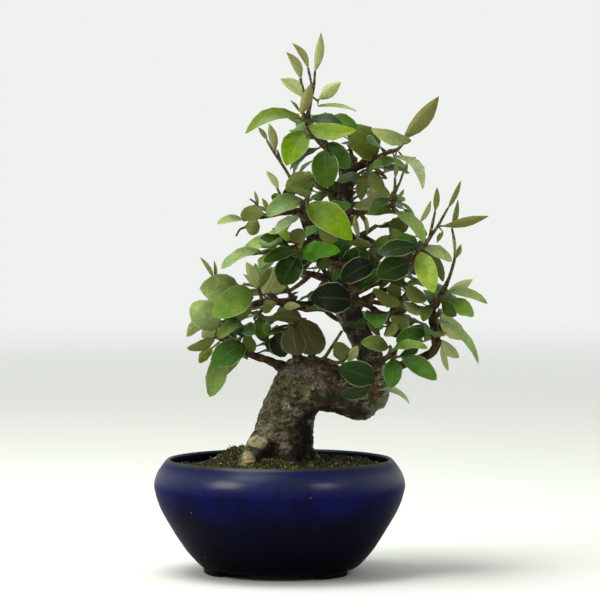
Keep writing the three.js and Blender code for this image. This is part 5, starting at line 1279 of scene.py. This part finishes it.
class Socket:
    """A shader socket on which +, -, * and abs add Math nodes, from either side."""

    def __init__(self, finish, socket):
        self.finish, self.socket = finish, socket

    def maths(self, operation, a, b):
        """A Math node on two values or sockets."""
        return self.finish.node("ShaderNodeMath", {"operation": operation}, {0: a, 1: b})

    def __add__(self, other):
        return self.maths("ADD", self, other)

    def __sub__(self, other):
        return self.maths("SUBTRACT", self, other)

    def __rsub__(self, other):
        return self.maths("SUBTRACT", other, self)

    def __mul__(self, other):
        return self.maths("MULTIPLY", self, other)

    def __abs__(self):
        return self.maths("ABSOLUTE", self, 0)

    __radd__, __rmul__ = __add__, __mul__


class Finish:
    """A procedural material: a Principled shader and the nodes that feed it."""

    def __init__(self, name, **settings):
        self.material = bpy.data.materials.new(name)
        self.material.use_nodes = True
        self.tree = self.material.node_tree
        self.shader = self.tree.nodes["Principled BSDF"]
        for socket, value in settings.items():
            self.shader.inputs[socket.replace("_", " ")].default_value = value
        self.place = self.node("ShaderNodeTexCoord", out="Object")

    def node(self, kind, settings=None, inputs=None, out=0):
        """Adds a node with its settings, then its sockets' values or links, and returns an output."""
        made = self.tree.nodes.new(kind)
        for name, value in (settings or {}).items():
            setattr(made, name, value)
        for key, value in (inputs or {}).items():
            self.feed(made.inputs[key], value)
        return Socket(self, made.outputs[out])

    def feed(self, socket, value):
        """Gives a socket a value or a link."""
        if isinstance(value, Socket):
            self.tree.links.new(value.socket, socket)
        elif np.ndim(value) and len(value) == 3 and len(getattr(socket, "default_value", ())) == 4:
            socket.default_value = (*value, 1)
        else:
            socket.default_value = value

    def wear(self, **feeds):
        """Feeds the Principled shader's sockets."""
        for name, value in feeds.items():
            self.feed(self.shader.inputs[name.replace("_", " ")], value)
        return self.material

    def noise(self, size, detail=3, stretch=(1, 1, 1), rough=0.55):
        """Noise from 0 to 1 with lumps of a size in millimetres, stretched along the axes."""
        where = self.node("ShaderNodeVectorMath", {"operation": "MULTIPLY"}, {0: self.place, 1: stretch})
        settings = {"Vector": where, "Scale": 1000 / size, "Detail": detail, "Roughness": rough}
        return self.node("ShaderNodeTexNoise", None, settings)

    def cells(self, size):
        """How far each place is from the middle of its cell, cells a size in millimetres apart."""
        return self.node("ShaderNodeTexVoronoi", None, {"Vector": self.place, "Scale": 1000 / size})

    def ramp(self, value, low, high, start=0.0, end=1.0):
        """start below low, end above high, and smooth between."""
        inputs = {"Value": value, "From Min": low, "From Max": high, "To Min": start, "To Max": end}
        return self.node("ShaderNodeMapRange", {"interpolation_type": "SMOOTHSTEP"}, inputs)

    def mix(self, share, first, second):
        """Two colours mixed by a share."""
        return self.node("ShaderNodeMix", {"data_type": "RGBA"}, {0: share, 6: first, 7: second}, 2)

    def coated(self, base, *coats):
        """A colour with coats over it, each a share and a colour as the eye sees it."""
        for share, colour in coats:
            base = self.mix(share, base, seen(colour))
        return base

    def tinted(self, colour, factor):
        """A colour made lighter or darker by a number."""
        return self.node("ShaderNodeVectorMath", {"operation": "SCALE"}, {0: colour, "Scale": factor})

    def toned(self, colour, factors):
        """A colour with its red, green and blue each made stronger or weaker."""
        return self.node("ShaderNodeVectorMath", {"operation": "MULTIPLY"}, {0: colour, 1: factors})

    def value(self, name, out="Fac"):
        """A value that the mesh carries."""
        return self.node("ShaderNodeAttribute", {"attribute_name": name}, None, out)

    def bump(self, height, depth, strength=1.0):
        """A normal from a height of 0 to 1 that stands for a depth in millimetres."""
        inputs = {"Height": height, "Distance": depth / 1000, "Strength": strength}
        return self.node("ShaderNodeBump", None, inputs)


# A leaf's side veins: how many there are, and how far they run forward on their way to the rim.
VEINS = 8
VEIN_SLANT = 2.2


def leaf_finish():
    """Leathery leaves: a lightly mottled green with a pale rib and veins, a pale rim that is partly painted
    rim light, and painted shade towards the stalk; silvery and scaly below.
    """
    finish = Finish("leathery_leaf", Specular_IOR_Level=0.15)
    along, across, below = finish.value("along"), abs(finish.value("across")), finish.value("below")
    mottle, flush = finish.noise(3.5, 3), finish.noise(8, 2)
    grain, scale = finish.noise(0.4, 2), finish.noise(0.75, 1)
    rib = finish.ramp(across, 0.02, 0.12, 1, 0) * finish.ramp(along, 0.7, 0.98, 1, 0)
    slant = (along * VEINS - across * VEIN_SLANT) * 2 * math.pi
    vein = finish.node("ShaderNodeMath", {"operation": "SINE"}, {0: slant})
    vein = finish.ramp(vein, 0.6, 1.0) * finish.ramp(across, 0.85, 0.5)
    # The pale rim, on both sides, is partly the blade's pale margin and partly painted rim light.
    rim = finish.ramp(across, 0.91, 0.98)
    # Painted shade: each blade darker towards its stalk, where the leaves round it shade it, lighter towards
    # its tip.
    base = finish.ramp(along, -0.1, 0.85, 0.62, 1.24)
    upper = finish.tinted(finish.value("tone", "Color"), (0.5 + mottle * 0.94) * base)
    upper = finish.mix(finish.ramp(flush, 0.42, 0.62) * 0.6, upper, finish.toned(upper, (1.22, 1.06, 0.8)))
    upper = finish.mix(finish.ramp(scale, 0.5, 0.7) * 0.3, upper, finish.toned(upper, (1.7, 1.5, 2.0)))
    upper = finish.mix(finish.ramp(scale, 0.48, 0.34) * 0.3, upper, finish.toned(upper, (0.6, 0.68, 0.55)))
    upper = finish.coated(
        upper, (rib * 0.07, (150, 170, 104)), (vein * 0.02, (140, 170, 100)), (rim * 0.55, (178, 194, 138))
    )
    under = finish.tinted(finish.value("under", "Color"), 0.78 + mottle * 0.44)
    under = finish.mix(finish.ramp(grain, 0.52, 0.7) * 0.3, under, finish.toned(under, (0.62, 0.5, 0.42)))
    under = finish.mix(finish.ramp(scale, 0.5, 0.7) * 0.35, under, finish.toned(under, (1.6, 1.55, 1.8)))
    under = finish.coated(under, (rib * 0.35, (108, 98, 60)), (rim * 0.3, (170, 172, 130)))
    blade = finish.mix(below, upper, under)
    stalk = finish.mix(finish.ramp(along, -0.05, 0.03), seen((96, 88, 50)), blade)
    height = (1 - rib) * 0.5 + (1 - vein) * 0.14 + grain * 0.25
    return finish.wear(
        Base_Color=stalk, Roughness=0.26 + below * 0.4 + mottle * 0.24, Normal=finish.bump(height, 0.2, 0.7)
    )


def bark_finish():
    """Grey-brown bark with algae, lichen and dark cracks, darker where it lies low as painted shade in its
    hollows, and spotted with its own marks and with painted highlights and shade; thin shoots are smooth,
    olive and scaly, and the twigs' dark brown is partly painted shade.
    """
    finish = Finish("living_bark", Specular_IOR_Level=0.25)
    girth, relief = finish.value("girth"), finish.value("relief")
    broad, patchy, fine = finish.noise(9, 3), finish.noise(4.5, 4), finish.noise(0.9, 3)
    wrinkle = finish.noise(2.2, 5, (0.8, 0.8, 1.5), 0.68)
    old = finish.coated(
        seen((72, 63, 46)),
        (finish.ramp(patchy, 0.4, 0.64), (182, 175, 142)),
        (finish.ramp(broad, 0.42, 0.62) * 0.5, (88, 86, 54)),
        (finish.ramp(wrinkle, 0.5, 0.6) * 0.8, (26, 20, 14)),
        # Darker where the bark lies low: its dark cracks, and painted shade in its hollows.
        (finish.ramp(relief, -0.3, -0.9) * 0.8, (20, 17, 13)),
    )
    cover, paint = finish.value("cover"), finish.value("paint", "Color")
    # The spots: the wood's own marks, with painted highlights on its lit side and painted shade on its dark
    # side, under the arm and up the riser.
    old = finish.mix(cover * (1 - finish.ramp(wrinkle, 0.52, 0.64) * 0.55), old, paint)
    flecks = finish.ramp(fine, 0.55, 0.64) * (0.6 - cover * 0.4)
    old = finish.mix(flecks, old, finish.toned(old, (3.1, 3.0, 2.9)))
    # The twigs' dark brown is partly painted shade inside the crown.
    twig = finish.mix(finish.ramp(patchy, 0.36, 0.62), seen((56, 38, 25)), seen((112, 86, 56)))
    young = finish.mix(finish.ramp(fine, 0.4, 0.65), seen((98, 76, 44)), seen((152, 134, 88)))
    bark = finish.mix(finish.ramp(girth, 0.7, 1.25), young, twig)
    bark = finish.mix(finish.ramp(girth, 2.0, 3.4), bark, old)
    height = finish.noise(1.2, 5, (0.9, 0.9, 1.2), 0.7) - finish.ramp(wrinkle, 0.5, 0.62) * 0.5
    light = fine * (1.24 - cover * 0.5) + (cover * 0.25 + 0.39)
    return finish.wear(
        Base_Color=finish.tinted(bark, light), Roughness=0.72 + patchy * 0.25,
        Normal=finish.bump(height, 1.5),
    )


def soil_finish():
    """Damp dark earth, grown over with olive moss in patches."""
    finish = Finish("mossy_soil", Specular_IOR_Level=0.25)
    patch, crumb = finish.noise(8, 4), finish.noise(1.2, 4)
    earth = finish.mix(finish.ramp(crumb, 0.35, 0.65), seen((13, 12, 7)), seen((52, 46, 27)))
    colour = finish.mix(finish.ramp(patch, 0.45, 0.6) * 0.6, earth, seen((40, 42, 18)))
    return finish.wear(Base_Color=colour, Roughness=0.9, Normal=finish.bump(crumb, 0.9))


def moss_finish():
    """Moss and grit, each frond and stone in its own tone."""
    finish = Finish("moss_and_grit", Roughness=0.85, Specular_IOR_Level=0.2)
    return finish.wear(Base_Color=finish.tinted(finish.value("tone", "Color"), 0.6 + finish.noise(0.8) * 0.8))


def glaze_finish():
    """Cobalt glaze: bluer where it is thin below the lip, nearly black below, grey-green on the lip, with
    cloudy streaks, a few pinholes and pale patches on the shoulder that are partly a painted highlight;
    it shines most on the shoulder."""
    finish = Finish("cobalt_glaze", Coat_Roughness=0.28, Coat_IOR=1.9, Specular_IOR_Level=0.01)
    height = finish.node("ShaderNodeSeparateXYZ", None, {0: finish.place}, "Z") * 1000
    cloud, streak, fine = finish.noise(20, 4), finish.noise(6, 4, (1, 1, 0.3)), finish.noise(1.1, 3)
    band = height + (cloud - 0.5) * 24 + (streak - 0.5) * 10
    # Pale, cloudy patches of glaze on the shoulder, partly a painted highlight where the lamps shine on it.
    milky_bloom_and_highlight = finish.ramp(cloud + streak * 0.4, 0.66, 0.9) * finish.ramp(height, 37, 42)
    pin = finish.ramp(finish.cells(11), 0.05, 0.035)
    glaze = finish.coated(
        seen((8, 8, 13)),
        (finish.ramp(height, 3, 22), (10, 11, 27)),
        (finish.ramp(band, 22, 41), (19, 21, 80)),
        (finish.ramp(height, 37, 43) * 0.7, (14, 21, 60)),
        (finish.ramp(streak, 0.46, 0.72) * 0.6, (10, 11, 30)),
        (milky_bloom_and_highlight * 0.16, (50, 60, 104)),
        (finish.ramp(height + fine * 1.2, 47.0, 48.1), (42, 48, 35)),
        (finish.ramp(height + cloud * 3, 5.6, 2.0) * 0.6, (30, 32, 27)),
        (pin * 0.5, (110, 108, 98)),
    )
    dimple = finish.noise(2.6, 2) * 0.6 + (1 - pin) * 0.4
    return finish.wear(
        Base_Color=glaze, Roughness=0.32 + fine * 0.16,
        Coat_Weight=finish.ramp(height, 35.5, 41, 0.01, 0.4) * finish.ramp(height, 42, 46, 1, 0.4),
        Normal=finish.bump(dimple, 0.1, 0.5),
    )


def mesh_finish():
    """Moulded black mesh, dusty from the soil."""
    finish = Finish("drain_mesh", Specular_IOR_Level=0.4)
    dust = finish.ramp(finish.noise(2, 3), 0.45, 0.7)
    colour = finish.mix(dust * 0.4, seen((28, 28, 28)), seen((84, 70, 50)))
    return finish.wear(Base_Color=colour, Roughness=0.6 + dust * 0.25)


# The studio, in metres: the floor's tone, size and the distances over which it fades; the surround's tone,
# how bright it is in front and behind, and from where to where it turns; then each light's place, size,
# power and tint.
FLOOR_TONE = (236, 239, 233)
FLOOR_RADIUS = 3
FLOOR_SIDES = 64
FLOOR_FADE = (0.35, 2.2)
SURROUND_TONE = (250, 253, 249)
SURROUND = (0.28, 0.9)
TURN_OF_LIGHT = (-0.5, 0.7)
LIGHTS_AIM = (0, 0, 0.1)
LIGHTS = dict(
    overhead=((-0.3, -0.05, 1.1), (0.7, 0.6), 9.2, (1, 1, 0.97)),
    left_window=((-1.15, -0.8, 1.0), (0.7, 0.7), 8.6, (0.99, 1, 1)),
    right_window=((1.05, -1.0, 1.05), (0.5, 0.5), 2.8, (1, 1, 1)),
)


def studio():
    """A pale floor that fades into a pale surround, brightest behind, and soft lights above and in front."""
    floor = Finish("pale_floor", Roughness=0.95, Specular_IOR_Level=0.0)
    away = floor.node("ShaderNodeVectorMath", {"operation": "LENGTH"}, {0: floor.place}, "Value")
    floor.wear(Base_Color=seen(FLOOR_TONE), Alpha=floor.ramp(away, *FLOOR_FADE, 1, 0))
    mesh = bpy.data.meshes.new("floor")
    mesh.from_pydata((FLOOR_RADIUS * circle(turns(FLOOR_SIDES))).tolist(), [], [list(range(FLOOR_SIDES))])
    mesh.materials.append(floor.material)
    made = linked("floor", mesh)
    world = bpy.data.worlds.new("surround")
    bpy.context.scene.world = world
    world.use_nodes = True
    nodes, links = world.node_tree.nodes, world.node_tree.links
    nodes["Background"].inputs["Color"].default_value = (*seen(SURROUND_TONE), 1)
    way, split, fade = (nodes.new("ShaderNode" + kind) for kind in ("TexCoord", "SeparateXYZ", "MapRange"))
    fade.interpolation_type = "SMOOTHSTEP"
    for key, value in zip(("From Min", "From Max", "To Min", "To Max"), (*TURN_OF_LIGHT, *SURROUND)):
        fade.inputs[key].default_value = value
    links.new(way.outputs["Generated"], split.inputs[0])
    links.new(split.outputs["Y"], fade.inputs["Value"])
    links.new(fade.outputs[0], nodes["Background"].inputs["Strength"])
    for name, (at, size, power, tint) in LIGHTS.items():
        lamp = bpy.data.lights.new(name, "AREA")
        lamp.shape, lamp.size, lamp.size_y, lamp.energy, lamp.color = "RECTANGLE", *size, power, tint
        light = linked(name, lamp)
        light.location = at
        aim = np.array(LIGHTS_AIM) - at
        light.rotation_euler = Vector(aim).to_track_quat("-Z", "Y").to_euler()


def camera():
    """The camera where the photograph was taken: its pitch, distance and field of view."""
    lens = bpy.data.cameras.new("camera")
    lens.sensor_width, lens.lens = SENSOR, FOCAL * SENSOR / IMAGE_SIZE
    lens.clip_start, lens.clip_end = 0.05, 50
    made = linked("camera", lens)
    made.location = CAMERA / 1000 + AXIS
    made.rotation_euler = (math.pi / 2 - PITCH, 0, 0)
    bpy.context.scene.camera = made


bpy.context.scene.view_settings.view_transform = "Standard"
camera()
studio()
LEAF, BARK, GLAZE = leaf_finish(), bark_finish(), glaze_finish()
SOIL, MOSS_FINISH = soil_finish(), moss_finish()
make_pot()
make_soil()
make_moss()
make_trunk()
fine_chance = np.random.default_rng(5)
for branch_name, (branch_wood, _, branch_leaves) in place_leaves().items():
    make_branch(branch_name, branch_wood, branch_leaves, fine_chance)
drain_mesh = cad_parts["drain_mesh"].data
drain_mesh.materials.clear()
drain_mesh.materials.append(mesh_finish())
